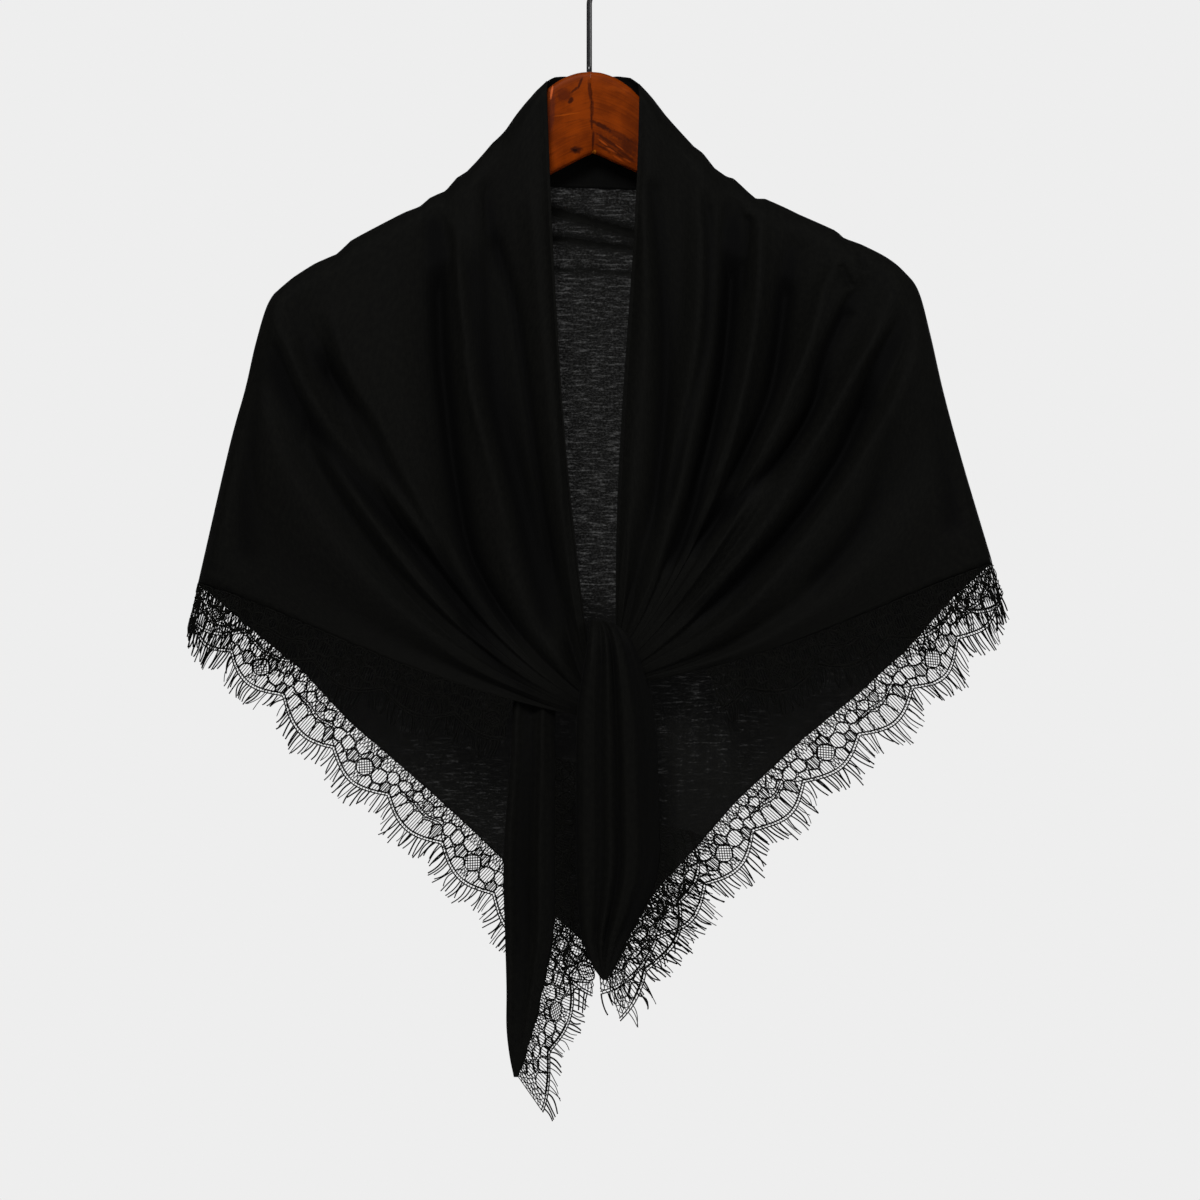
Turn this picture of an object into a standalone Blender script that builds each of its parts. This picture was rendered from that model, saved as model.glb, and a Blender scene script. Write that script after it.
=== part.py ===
"""Triangle head scarf with lace edging, worn as a shawl over a wooden hanger and tied in front.

Units: the tables are in millimetres, the scene is in metres. +X is to the right of the front
view, -Y points to the viewer and +Z is up. The origin is the top of the inside of the hook.
"""

import bpy
import numpy as np

MM = 0.001

# Cloth and lace
CLOTH_WALL = 1.2
LACE_WALL = 1.0
SEAM_GAP = 0.3
ROLL_RADIUS = 14.0
NECK_TIGHTER = 7.0
FRONT_DEPTH = 13.0
BACK_DEPTH = 12.0
BELLY = 6.0
NECK_SEAM = 6.5
SIDE_RETURN = 18.0
LACE_DEPTH = 21.0
SCALLOP_RISE = 9.0
SCALLOP_PITCH = 50.0
LACE_STEP = 8.4
STRIP_WIDTH = 1.5
LASH_LENGTH = 13.0
LASH_ROOT = 0.12
LASH_LEAN = 0.16

# Hanger
JOINT_X = 0.0
ARM_SWEEP = 26.0
ARM_REACH = 222.0
ARM_EDGE = 3.0
WIRE_RADIUS = 1.85
HOOK_INSIDE = 19.5
HOOK_BEND_Z = -46.0
SHANK_END_Z = -91.6

# Each row is one fold of a wing, from its start on the outline to the tie:
# x and z at the outline, at one third, at two thirds and at the tie, then the lift of the
# fold, more than 0 for a ridge and less than 0 for a trough.
WING_LEFT = (
    (-29, -99, -23, -240, -13, -376, 4, -511, -3.0),
    (-41, -110, -31, -246, -18, -382, 3, -513, 5.0),
    (-62, -138, -61, -260, -38, -386, 2, -515, -6.0),
    (-83, -159, -76, -277, -58, -406, 1, -517, 5.0),
    (-104, -177, -101, -287, -79, -418, 0, -518, -7.0),
    (-131, -192, -128, -297, -89, -422, -1, -520, 4.0),
    (-170, -212, -156, -308, -98, -425, -1, -521, 5.0),
    (-203, -231, -172, -310, -108, -427, -1, -522, -5.0),
    (-219, -248, -186, -323, -117, -432, -2, -524, 5.0),
    (-226, -277, -195, -337, -126, -439, -2, -525, -6.0),
    (-233, -308, -200, -369, -133, -452, -3, -526, 5.0),
    (-243, -347, -211, -410, -139, -471, -3, -528, -3.0),
    (-265, -439, -197, -464, -116, -497, -4, -529, 0.0),
)
WING_RIGHT = (
    (34, -102, 29, -225, 21, -348, 18, -480, -3.0),
    (42, -110, 39, -233, 31, -355, 19, -482, 4.0),
    (58, -128, 59, -246, 45, -369, 19, -484, -5.0),
    (78, -148, 76, -253, 58, -382, 20, -486, 4.0),
    (99, -167, 93, -274, 69, -389, 21, -488, -7.0),
    (116, -178, 110, -272, 79, -386, 21, -490, 6.0),
    (141, -189, 126, -288, 87, -390, 22, -492, -6.0),
    (177, -207, 145, -292, 96, -393, 23, -494, 6.0),
    (200, -219, 162, -298, 106, -397, 23, -496, -5.0),
    (214, -227, 176, -304, 116, -403, 24, -498, 5.0),
    (224, -242, 188, -316, 127, -413, 25, -500, -6.0),
    (231, -272, 198, -337, 137, -427, 25, -502, 6.0),
    (241, -312, 208, -368, 146, -445, 26, -504, -3.0),
    (253, -360, 208, -411, 138, -466, 26, -506, 3.0),
    (269, -425, 194, -456, 122, -484, 27, -508, 0.0),
)
TIE_Y_LEFT = -27.0
TIE_Y_RIGHT = -28.0
TIE_CURL = 4.0

# The row of each wing where the outline turns from the shoulder down the side
SHOULDER_ROW_LEFT = 8
SHOULDER_ROW_RIGHT = 10

# The edge of the cloth at the back of the neck, from left to right: x, z, y
NECK_EDGE = (
    (-24, -95.6, 9.0),
    (-18, -94.6, 11.2),
    (0, -94.4, 11.6),
    (20, -94.6, 11.2),
    (28, -96.8, 9.0),
)

# The hem of the back panel, from the left corner to the point to the right corner: x, z
BACK_HEM = (
    (-265, -439),
    (-231, -468),
    (-197, -497),
    (-163, -533),
    (-109, -580),
    (-59, -627),
    (-22, -667),
    (5, -692),
    (27, -671),
    (52, -641),
    (75, -616),
    (102, -586),
    (143, -547),
    (184, -513),
    (214, -486),
    (245, -450),
    (269, -425),
)
BACK_POINT_ROW = 7

# Each row is a section of a tail, from its hidden end over the tie down to its tip:
# x of the left edge, x of the right edge, z, y of the middle.
TAIL_RIGHT = (
    (-3, 10, -520, -24.45),
    (-3, 13, -513, -15.5),
    (-2, 13, -498, -13.0),
    (-1, 13, -482, -15.0),
    (0, 13, -470, -21.0),
    (1, 15, -464.5, -32.0),
    (0, 25, -470, -42.5),
    (-2, 32, -484, -47.0),
    (-5, 38, -504, -46.5),
    (-8, 43, -525, -43.0),
    (-9, 46, -556, -37.0),
    (-9, 47, -592, -31.0),
    (-9, 48, -626, -26.0),
    (-8, 41, -652, -23.0),
    (-5, 27, -679, -20.0),
    (2, 18, -697, -18.0),
    (9, 12, -707, -17.0),
)
TAIL_LEFT = (
    (-38, -14, -500, -18.6),
    (-49, -20, -512, -19.6),
    (-52, -23, -530, -20.6),
    (-53, -23, -559, -22.0),
    (-57, -23, -607, -20.0),
    (-58, -23, -641, -18.0),
    (-57, -24, -675, -16.0),
    (-56, -31, -712, -14.5),
    (-56, -37, -739, -13.5),
    (-54, -43, -758, -13.0),
    (-51, -48, -773, -13.0),
)

# Across a tail from its left edge (-1) to its right edge (1): place and lift of each fold
TAIL_RIGHT_FOLDS = (
    (-1.0, -3.0),
    (-0.85, 1.0),
    (-0.52, -1.6),
    (-0.2, 1.6),
    (0.06, -2.0),
    (0.26, 1.6),
    (0.58, -1.6),
    (0.84, -2.0),
    (1.0, -4.0),
)
TAIL_LEFT_FOLDS = (
    (-1.0, -2.0),
    (-0.78, 1.5),
    (-0.3, -2.6),
    (0.28, 2.2),
    (0.66, 0.0),
    (1.0, -2.6),
)

# Each row is a station along a hem from its start (0) to its end (1): the way the lace hangs
# there in x and z, and its depth as a share of the full depth.
LACE_BACK_LEFT = (
    (0.0, -0.23, -0.97, 1.0),
    (0.14, -0.63, -0.77, 1.0),
    (0.5, -0.68, -0.73, 1.0),
    (0.88, -0.67, -0.74, 1.0),
    (1.0, -0.1, -1.0, 1.0),
)
LACE_BACK_RIGHT = (
    (0.0, 0.1, -1.0, 1.0),
    (0.1, 0.78, -0.63, 1.0),
    (0.4, 0.74, -0.67, 1.0),
    (0.8, 0.67, -0.74, 1.0),
    (0.93, 0.45, -0.89, 1.0),
    (1.0, 0.24, -0.97, 1.0),
)
LACE_WING_LEFT = (
    (0.0, -0.23, -0.97, 1.0),
    (0.3, -0.38, -0.92, 1.0),
    (1.0, -0.25, -0.97, 1.0),
)
LACE_WING_RIGHT = (
    (0.0, 0.24, -0.97, 1.0),
    (0.3, 0.36, -0.93, 1.0),
    (1.0, 0.3, -0.95, 1.0),
)
LACE_TAIL_LEFT = (
    (0.0, 0.97, -0.25, 0.85),
    (0.45, 0.96, -0.28, 0.95),
    (0.72, 0.92, -0.4, 0.8),
    (0.86, 0.8, -0.6, 0.75),
    (1.0, 0.56, -0.83, 1.0),
)
LACE_TAIL_RIGHT = (
    (0.0, 0.97, -0.24, 0.9),
    (0.35, 0.87, -0.5, 1.0),
    (0.8, 0.82, -0.57, 1.0),
    (1.0, 0.3, -0.95, 1.0),
)

# Each row is a section of a hanger arm: distance from the joint, z of the top, z of the
# bottom, half of the thickness.
ARM = (
    (0.15, -92.0, -146.6, 7.0),
    (8.0, -92.9, -150.6, 7.0),
    (16.0, -95.6, -154.8, 7.0),
    (23.0, -99.6, -158.4, 7.0),
    (31.0, -106.2, -162.4, 7.0),
    (45.0, -122.4, -169.4, 7.0),
    (62.0, -145.2, -177.8, 7.0),
    (82.0, -165.4, -188.4, 7.0),
    (106.0, -184.0, -201.6, 7.0),
    (132.0, -199.0, -215.6, 7.2),
    (163.0, -214.6, -231.8, 7.6),
    (192.0, -231.0, -246.4, 8.0),
    (208.0, -243.4, -254.4, 7.6),
    (214.0, -249.0, -256.0, 5.6),
    (217.0, -251.4, -254.8, 3.4),
)


def clear_scene():
    """Removes what the scene starts with and returns a new collection for the object."""
    for obj in list(bpy.data.objects):
        bpy.data.objects.remove(obj, do_unlink=True)
    collection = bpy.data.collections.new("triangle_head_scarf")
    bpy.context.scene.collection.children.link(collection)
    return collection


def material(name, colour, roughness, metallic=0.0):
    """A plain surface with one base colour."""
    made = bpy.data.materials.new(name)
    made.use_nodes = True
    shader = made.node_tree.nodes["Principled BSDF"]
    shader.inputs["Base Color"].default_value = (*colour, 1.0)
    shader.inputs["Roughness"].default_value = roughness
    shader.inputs["Metallic"].default_value = metallic
    made.diffuse_color = (*colour, 1.0)
    return made


def smooth(value):
    """Soft step from 0 to 1 while value goes from 0 to 1."""
    value = np.clip(value, 0.0, 1.0)
    return value * value * (3.0 - 2.0 * value)


def through(rows, place):
    """Catmull-Rom curve through the rows, row k at place k. place may be any array."""
    rows = np.asarray(rows, float)
    place = np.asarray(place, float)
    first = 2.0 * rows[:1] - rows[1:2]
    last = 2.0 * rows[-1:] - rows[-2:-1]
    padded = np.concatenate([first, rows, last])
    cell = np.clip(np.floor(place).astype(int), 0, len(rows) - 2)
    f = (place - cell)[..., None]
    a, b, c, d = (padded[cell + k] for k in range(4))
    straight = 2.0 * b + (c - a) * f
    bent = (2.0 * a - 5.0 * b + 4.0 * c - d) * f**2 + (3.0 * b - a - 3.0 * c + d) * f**3
    return 0.5 * (straight + bent)


def evenly(points, count):
    """count points at equal distances along a polyline."""
    steps = np.linalg.norm(np.diff(points, axis=0), axis=1)
    run = np.concatenate([[0.0], np.cumsum(steps)])
    wanted = np.linspace(0.0, run[-1], count)
    return np.stack([np.interp(wanted, run, points[:, k]) for k in range(points.shape[1])], axis=1)


def arm_y(x):
    """Middle of the hanger arm in y: the arms sweep forward to their ends."""
    return -ARM_SWEEP * np.minimum(np.abs(x) / ARM_REACH, 1.0) ** 2


def fold_y(x, z):
    """Middle depth of the worn cloth at its outline, over the shoulder and down the side."""
    return arm_y(x) + SIDE_RETURN * np.clip((-250.0 - z) / 190.0, 0.0, 1.0)


def near_neck(x):
    """1 beside the neck, 0 on the shoulders."""
    return 1.0 - smooth((np.abs(x) - 34.0) / 24.0)


def seam_y(x, z):
    """Depth of the line where front and back cloth meet; beside the neck it lies further back."""
    return fold_y(x, z) + NECK_SEAM * near_neck(x)


def rolled(distance, radius=ROLL_RADIUS):
    """Quarter round from 0 at the outline to 1 at one radius away from it."""
    q = np.clip(distance / radius, 0.0, 1.0)
    return np.sqrt(1.0 - (1.0 - q) ** 2)


def from_outline(x, z, outline):
    """Distance of each point to a polyline in x and z, and the polyline's y at the nearest place."""
    flat = np.stack([x.ravel(), z.ravel()], axis=1)
    best = np.full(len(flat), np.inf)
    depth = np.zeros(len(flat))
    for start, end in zip(outline[:-1], outline[1:]):
        side = end[:2] - start[:2]
        share = np.clip((flat - start[:2]) @ side / (side @ side), 0.0, 1.0)
        gap = np.linalg.norm(flat - start[:2] - share[:, None] * side, axis=1)
        nearer = gap < best
        best = np.where(nearer, gap, best)
        depth = np.where(nearer, start[2] + share * (end[2] - start[2]), depth)
    return best.reshape(x.shape), depth.reshape(x.shape)


def wing_points(rows, s, t, tie_y):
    """Outer face of a wing. s counts the folds from the neck edge to the hem, t runs from the
    outline (0) to the tie (1). x and z follow the fold lines; y is the rolled shoulder, then
    a straight fall to the tie with a belly, with the folds laid on it."""
    rows = np.asarray(rows, float)
    s_grid, t_grid = np.meshgrid(s, t, indexing="ij")
    values = through(rows, s_grid)
    weights = lagrange(t_grid)
    x = sum(weights[k] * values[..., 2 * k] for k in range(4))
    z = sum(weights[k] * values[..., 2 * k + 1] for k in range(4))
    outline = wing_outline(rows)
    distance, edge_y = from_outline(x, z, outline)
    start_y = fold_y(values[..., 0], values[..., 1])
    hang = (1.0 - t_grid) * (start_y - FRONT_DEPTH) + t_grid * tie_y
    hang = hang - BELLY * np.sin(np.pi * t_grid)
    reach = fold_reach(rows, s_grid, t_grid)
    lift = np.clip(values[..., 8], -reach, reach)
    grown = 0.25 + 0.75 * smooth(t_grid / 0.35)
    across = 2.0 * s_grid / (len(rows) - 1) - 1.0
    curl = TIE_CURL * across**2 * smooth((t_grid - 0.72) / 0.25)
    radius = ROLL_RADIUS - NECK_TIGHTER * near_neck(x)
    y = edge_y + (hang - lift * grown + curl - edge_y) * rolled(distance, radius)
    return np.stack([x, y - 0.5 * SEAM_GAP, z], axis=-1)


def lagrange(t):
    """Weights of four points at 0, 1/3, 2/3 and 1."""
    knots = (0.0, 1.0 / 3.0, 2.0 / 3.0, 1.0)
    weights = []
    for k, knot in enumerate(knots):
        weight = np.ones_like(t)
        for m, other in enumerate(knots):
            if m != k:
                weight = weight * (t - other) / (knot - other)
        weights.append(weight)
    return weights


def fold_reach(rows, s, t):
    """The highest fold that fits between its neighbours without the wall meeting itself."""
    weights = lagrange(t)
    step = 0.5
    low = through(rows, np.clip(s - step, 0, len(rows) - 1))
    high = through(rows, np.clip(s + step, 0, len(rows) - 1))
    wide = high - low
    x = sum(weights[k] * wide[..., 2 * k] for k in range(4))
    z = sum(weights[k] * wide[..., 2 * k + 1] for k in range(4))
    return 0.03 * (x * x + z * z)


def wing_outline(rows):
    """The start of every fold as a fine polyline: x, z and the depth of the seam."""
    rows = np.asarray(rows, float)
    fine = through(rows, np.linspace(0, len(rows) - 1, 6 * len(rows)))
    return np.stack([fine[:, 0], fine[:, 1], seam_y(fine[:, 0], fine[:, 1])], axis=1)


def back_outline():
    """Top and sides of the back panel from the left corner over the neck to the right corner."""
    left = wing_outline(WING_LEFT)[::-1]
    neck = np.asarray(NECK_EDGE, float)
    right = wing_outline(WING_RIGHT)
    return np.concatenate([left, neck, right])


def back_y(x, z):
    """Outer face of the back panel in y: it falls from the hanger and hangs freely below,
    a little fuller in the middle, with soft upright folds that grow downwards."""
    distance, edge_y = from_outline(x, z, back_outline())
    low = smooth((-230.0 - z) / 260.0)
    hang = (arm_y(x) + BACK_DEPTH) * (1.0 - low) + (12.0 - 20.0 * (x / 267.0) ** 2) * low
    waves = 2.6 * np.cos(2.0 * np.pi * (x - 8.0) / 96.0) + 1.6 * np.cos(2.0 * np.pi * (x + 21.0) / 57.0)
    corner = smooth((x - 175.0) / 40.0) * 2.4 * np.sin(2.0 * np.pi * (x - 180.0) / 50.0)
    inside = smooth(distance / 60.0)
    hang = hang + (waves * inside + corner * smooth((-400.0 - z) / 60.0) * smooth((268.0 - x) / 16.0)) * low
    return edge_y + (hang - edge_y) * rolled(distance) + 0.5 * SEAM_GAP


def back_points(columns, rows):
    """Outer face of the back panel. The grid is a patch between its four edges: the shoulder
    line, the two sides and the hem with its point in the middle."""
    left = np.asarray(WING_LEFT, float)[:, :2]
    right = np.asarray(WING_RIGHT, float)[:, :2]
    fine_left = through(left, np.linspace(SHOULDER_ROW_LEFT, 0, 60))
    fine_right = through(right, np.linspace(0, SHOULDER_ROW_RIGHT, 60))
    neck = np.asarray(NECK_EDGE, float)[:, :2]
    middle = len(columns) // 2
    top_left = evenly(np.concatenate([fine_left, neck[:3]]), middle + 1)
    top_right = evenly(np.concatenate([neck[2:], fine_right]), middle + 1)
    top = np.concatenate([top_left, top_right[1:]])
    side_left = evenly(through(left, np.linspace(SHOULDER_ROW_LEFT, len(left) - 1, 40)), len(rows))
    side_right = evenly(through(right, np.linspace(SHOULDER_ROW_RIGHT, len(right) - 1, 40)), len(rows))
    hem = np.asarray(BACK_HEM, float)
    hem_left = evenly(hem[: BACK_POINT_ROW + 1], middle + 1)
    hem_right = evenly(hem[BACK_POINT_ROW:], middle + 1)
    bottom = np.concatenate([hem_left, hem_right[1:]])
    run = np.linspace(0.0, 1.0, len(rows))
    pick = lambda curve: np.stack([np.interp(rows, run, curve[:, k]) for k in range(2)], axis=1)
    side_left, side_right = pick(side_left), pick(side_right)
    u = columns[:, None, None]
    v = rows[None, :, None]
    ruled = (1 - v) * top[:, None] + v * bottom[:, None] + (1 - u) * side_left[None] + u * side_right[None]
    corners = (1 - u) * (1 - v) * top[0] + u * (1 - v) * top[-1] + (1 - u) * v * bottom[0] + u * v * bottom[-1]
    plan = ruled - corners
    x, z = plan[..., 0], plan[..., 1]
    return np.stack([x, back_y(x, z), z], axis=-1)


def turn_in_points():
    """Face of the turned-in band that looks to the back panel, 0.3 mm in front of that panel."""
    across = np.linspace(-1.0, 1.0, 13)
    down = np.linspace(0.0, 1.0, 7)
    u, v = np.meshgrid(across, down, indexing="ij")
    x = 1.5 + u * (27.0 + 14.0 * v)
    top = -98.0 - 22.0 * u**4
    z = top + (-170.0 - 1.5 * u - top) * v
    y = back_y(x, z) - CLOTH_WALL - SEAM_GAP - 0.8
    return np.stack([x, y, z], axis=-1)


def tail_points(sections, folds, across, along):
    """Outer face of a tail: sections along its path, folds pushed out along the path's normal."""
    path = through(sections, along)
    ahead = through(sections, np.clip(along + 0.05, 0, len(sections) - 1))
    behind = through(sections, np.clip(along - 0.05, 0, len(sections) - 1))
    way = (ahead - behind)[:, 2:]
    way = way / np.linalg.norm(way, axis=1, keepdims=True)
    out_y, out_z = way[:, 0:1], -way[:, 1:2]
    folds = np.asarray(folds, float)
    lift = through(folds[:, 1:], np.interp(across, folds[:, 0], np.arange(len(folds))))[:, 0]
    half = 0.5 * (path[:, 1] - path[:, 0])
    calm = np.clip(half / 18.0, 0.0, 1.0)[:, None] ** 2
    x = 0.5 * (path[:, 0] + path[:, 1])[:, None] + half[:, None] * across[None]
    push = lift[None] * calm
    y = path[:, 3:4] + out_y * push
    z = path[:, 2:3] + out_z * push
    return np.stack([x, y, z], axis=-1)


def unit(vectors):
    """The same directions with length 1."""
    return vectors / np.maximum(np.linalg.norm(vectors, axis=-1, keepdims=True), 1e-9)


def grid_normals(points):
    """Normals of a grid of points from its differences both ways."""
    return unit(np.cross(np.gradient(points, axis=0), np.gradient(points, axis=1)))


def close_wall(outer, inner):
    """Points and triangles of the closed wall between two grids, both cut along one diagonal."""
    n, m = outer.shape[:2]
    index = np.arange(n * m).reshape(n, m)
    quads = lambda g: np.stack([g[:-1, :-1], g[1:, :-1], g[1:, 1:], g[:-1, 1:]], axis=-1).reshape(-1, 4)
    rim = np.concatenate([index[:, 0], index[-1, 1:], index[-2::-1, -1], index[0, -2:0:-1]])
    rim_below = rim + n * m
    rim_faces = np.stack([np.roll(rim, -1), rim, rim_below, np.roll(rim_below, -1)], axis=1)
    front = cut_quads(quads(index))
    back = front[:, ::-1] + n * m
    faces = np.concatenate([front, back, cut_quads(rim_faces)])
    points = np.concatenate([outer.reshape(-1, 3), inner.reshape(-1, 3)])
    return points, faces


def cut_quads(quads):
    """Each quad as two triangles, cut from its first to its third corner."""
    return np.concatenate([quads[:, [0, 1, 2]], quads[:, [0, 2, 3]]])


def signed_volume(points, faces):
    """Volume inside triangles, less than 0 where they look inwards."""
    a, b, c = (points[faces[:, k]] for k in range(3))
    return np.einsum("ij,ij->i", a, np.cross(b, c)).sum() / 6.0


def add_object(collection, name, points, faces, surface):
    """Adds one mesh object from points in millimetres, its faces turned outwards."""
    if signed_volume(points, faces) < 0:
        faces = faces[:, ::-1]
    mesh = bpy.data.meshes.new(name)
    mesh.from_pydata((points * MM).tolist(), [], faces.tolist())
    mesh.materials.append(surface)
    obj = bpy.data.objects.new(name, mesh)
    collection.objects.link(obj)
    return obj


def cloth_wall(outer, thickness, inward, flat_edge=None, steady=0.0):
    """The inner grid of a wall. inward is a direction from the outer to the inner side, used to
    turn the normals and, where steady nears 1, in place of them; flat_edge marks points whose
    wall end is kept square to the seam."""
    normals = grid_normals(outer)
    turn = np.sign(np.einsum("...k,k->...", normals, np.asarray(inward, float)))
    centre = turn[turn.shape[0] // 2, turn.shape[1] // 2]
    normals = unit(normals * centre * (1.0 - steady) + np.asarray(inward, float) * steady)
    if flat_edge is not None:
        level = normals * np.array([1.0, 0.0, 1.0])
        normals = np.where(flat_edge[..., None], unit(level), normals)
    return outer + thickness * normals


def lace_grid(edge, table, seed_phase, gap, lean):
    """Middle face of a lace stretch: hem to scalloped edge in three lines, and the hang at each
    column. Depth = full depth of the net plus an arch for every scallop."""
    steps = np.linalg.norm(np.diff(edge, axis=0), axis=1)
    length = steps.sum()
    count = int(round(length / LACE_STEP))
    hem = evenly(edge, count + 1)
    run = np.linspace(0.0, length, count + 1)
    table = np.asarray(table, float)
    share = run / length
    way = np.stack([np.interp(share, table[:, 0], table[:, k]) for k in (1, 2)], axis=1)
    way = way / np.linalg.norm(way, axis=1, keepdims=True)
    part = np.interp(share, table[:, 0], table[:, 3])
    depth = part * (LACE_DEPTH + SCALLOP_RISE * np.abs(np.sin(np.pi * run / SCALLOP_PITCH + seed_phase)))
    hang = unit(np.stack([way[:, 0], np.full(count + 1, lean), way[:, 1]], axis=1))
    lines = []
    for r in (0.0, 0.5, 1.0):
        line = hem + hang * (gap + r * depth)[:, None]
        line[:, 1] += r * 1.6 * np.sin(2.0 * np.pi * run / 37.0 + 2.0 * seed_phase)
        lines.append(line)
    return np.stack(lines, axis=1), hang


def fringe_mesh(grid, hang, seed):
    """A strip along the scalloped edge with one pointed lash for every column of the lace."""
    random = np.random.default_rng(seed)
    outer = grid[:, -1]
    count = len(outer) - 1
    places = np.sort(np.concatenate([np.arange(count + 1), np.arange(count) + LASH_ROOT]))
    columns = np.arange(len(outer))
    line = np.stack([np.interp(places, columns, outer[:, k]) for k in range(3)], axis=1)
    way = unit(np.stack([np.interp(places, columns, hang[:, k]) for k in range(3)], axis=1))
    top = line + way * (SEAM_GAP + 0.1)
    bottom = top + way * STRIP_WIDTH
    half = np.array([0.0, 0.5 * LACE_WALL, 0.0])
    n = len(places)
    points = [top - half, top + half, bottom - half, bottom + half]
    front_top, back_top, front_low, back_low = (np.arange(n) + k * n for k in range(4))
    faces = []
    tips = []
    for k in range(n - 1):
        faces.append((front_top[k], front_top[k + 1], front_low[k + 1], front_low[k]))
        faces.append((back_top[k + 1], back_top[k], back_low[k], back_low[k + 1]))
        faces.append((front_top[k + 1], front_top[k], back_top[k], back_top[k + 1]))
        foot = (front_low[k], front_low[k + 1], back_low[k + 1], back_low[k])
        if k % 2 == 0:
            lean = random.normal(0.0, LASH_LEAN, 2)
            aside = np.array([way[k][2], 0.0, -way[k][0]])
            length = LASH_LENGTH * random.uniform(0.85, 1.05)
            middle = 0.5 * (bottom[k] + bottom[k + 1])
            tip = middle + length * unit(way[k] + lean[0] * aside + np.array([0.0, lean[1], 0.0]))
            tips.append(tip)
            tip_index = 4 * n + len(tips) - 1
            for a, b in zip(foot, foot[1:] + foot[:1]):
                faces.append((a, b, tip_index))
        else:
            faces.append(foot)
    faces.append((front_top[0], front_low[0], back_low[0], back_top[0]))
    faces.append((front_top[-1], back_top[-1], back_low[-1], front_low[-1]))
    return np.concatenate(points + [np.array(tips)]), faces


def add_lace(collection, name, edge, table, phase, seed, gap, lean, lace, yarn):
    """Adds one lace stretch and its fringe strip."""
    grid, hang = lace_grid(edge, table, phase, gap, lean)
    normals = grid_normals(grid)
    points, faces = close_wall(grid + 0.5 * LACE_WALL * normals, grid - 0.5 * LACE_WALL * normals)
    add_object(collection, "lace_" + name, points, faces, lace)
    points, faces = fringe_mesh(grid, hang, seed)
    mesh = bpy.data.meshes.new("fringe_" + name)
    mesh.from_pydata((points * MM).tolist(), [], [tuple(int(v) for v in face) for face in faces])
    mesh.materials.append(yarn)
    if mesh_volume(mesh) < 0:
        mesh.flip_normals()
    collection.objects.link(bpy.data.objects.new("fringe_" + name, mesh))


def mesh_volume(mesh):
    """Signed volume of a mesh from fans of its faces."""
    total = 0.0
    for face in mesh.polygons:
        corners = [mesh.vertices[v].co for v in face.vertices]
        for b, c in zip(corners[1:-1], corners[2:]):
            total += corners[0].dot(b.cross(c)) / 6.0
    return total


def arm_points(side):
    """Rounded oblong sections along one arm, eight corners softened by ARM_EDGE."""
    rings = []
    for run, top, bottom, half in ARM:
        edge = min(ARM_EDGE, 0.45 * (top - bottom), 0.9 * half)
        x = JOINT_X + side * run
        y = arm_y(x)
        ring = []
        for sy, sz in ((-1, 1), (1, 1), (1, -1), (-1, -1)):
            corner_z = top if sz > 0 else bottom
            turns = ((1.0, 0.0), (0.3, 0.3), (0.0, 1.0)) if sy * sz < 0 else ((0.0, 1.0), (0.3, 0.3), (1.0, 0.0))
            for cut_z, cut_y in turns:
                ring.append((x, y + sy * (half - edge * cut_y), corner_z - sz * edge * cut_z))
        rings.append(ring)
    return np.array(rings)


def add_arm(collection, name, side, wood):
    """Adds one hanger arm, a loft of its sections with a flat joint face."""
    rings = arm_points(side)
    n, m = rings.shape[:2]
    index = np.arange(n * m).reshape(n, m)
    around = np.roll(index, -1, axis=1)
    sides = np.stack([index[:-1], around[:-1], around[1:], index[1:]], axis=-1).reshape(-1, 4)
    faces = [tuple(int(v) for v in face) for face in sides]
    faces.append(tuple(int(v) for v in index[0][::-1]))
    faces.append(tuple(int(v) for v in index[-1]))
    mesh = bpy.data.meshes.new(name)
    mesh.from_pydata((rings.reshape(-1, 3) * MM).tolist(), [], faces)
    mesh.materials.append(wood)
    if mesh_volume(mesh) < 0:
        mesh.flip_normals()
    collection.objects.link(bpy.data.objects.new(name, mesh))


def hook_path():
    """Middle line of the wire: shank, a swing to the right, then over the top to the left."""
    radius = HOOK_INSIDE + WIRE_RADIUS
    centre_z = -HOOK_INSIDE
    t = np.linspace(0.0, 1.0, 9)[:, None]
    start = np.array([JOINT_X, HOOK_BEND_Z])
    end = np.array([JOINT_X + radius, centre_z])
    lift_1 = np.array([JOINT_X, HOOK_BEND_Z + 14.0])
    lift_2 = np.array([JOINT_X + radius, centre_z - 13.0])
    swing = (1 - t) ** 3 * start + 3 * (1 - t) ** 2 * t * lift_1 + 3 * (1 - t) * t**2 * lift_2 + t**3 * end
    angle = np.radians(np.linspace(0.0, 205.0, 19))[1:]
    bend = np.stack([JOINT_X + radius * np.cos(angle), centre_z + radius * np.sin(angle)], axis=1)
    shank = np.array([[JOINT_X, SHANK_END_Z], [JOINT_X, -70.0]])
    flat = np.concatenate([shank, swing, bend])
    return np.stack([flat[:, 0], np.zeros(len(flat)), flat[:, 1]], axis=1)


def add_hook(collection, wire):
    """Adds the hook as a round wire along its path."""
    path = hook_path() * MM
    curve = bpy.data.curves.new("hanger_hook", "CURVE")
    curve.dimensions = "3D"
    curve.bevel_depth = WIRE_RADIUS * MM
    curve.bevel_resolution = 2
    curve.use_fill_caps = True
    spline = curve.splines.new("POLY")
    spline.points.add(len(path) - 1)
    spline.points.foreach_set("co", np.concatenate([path, np.ones((len(path), 1))], axis=1).ravel())
    curve.materials.append(wire)
    collection.objects.link(bpy.data.objects.new("hanger_hook", curve))


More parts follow.
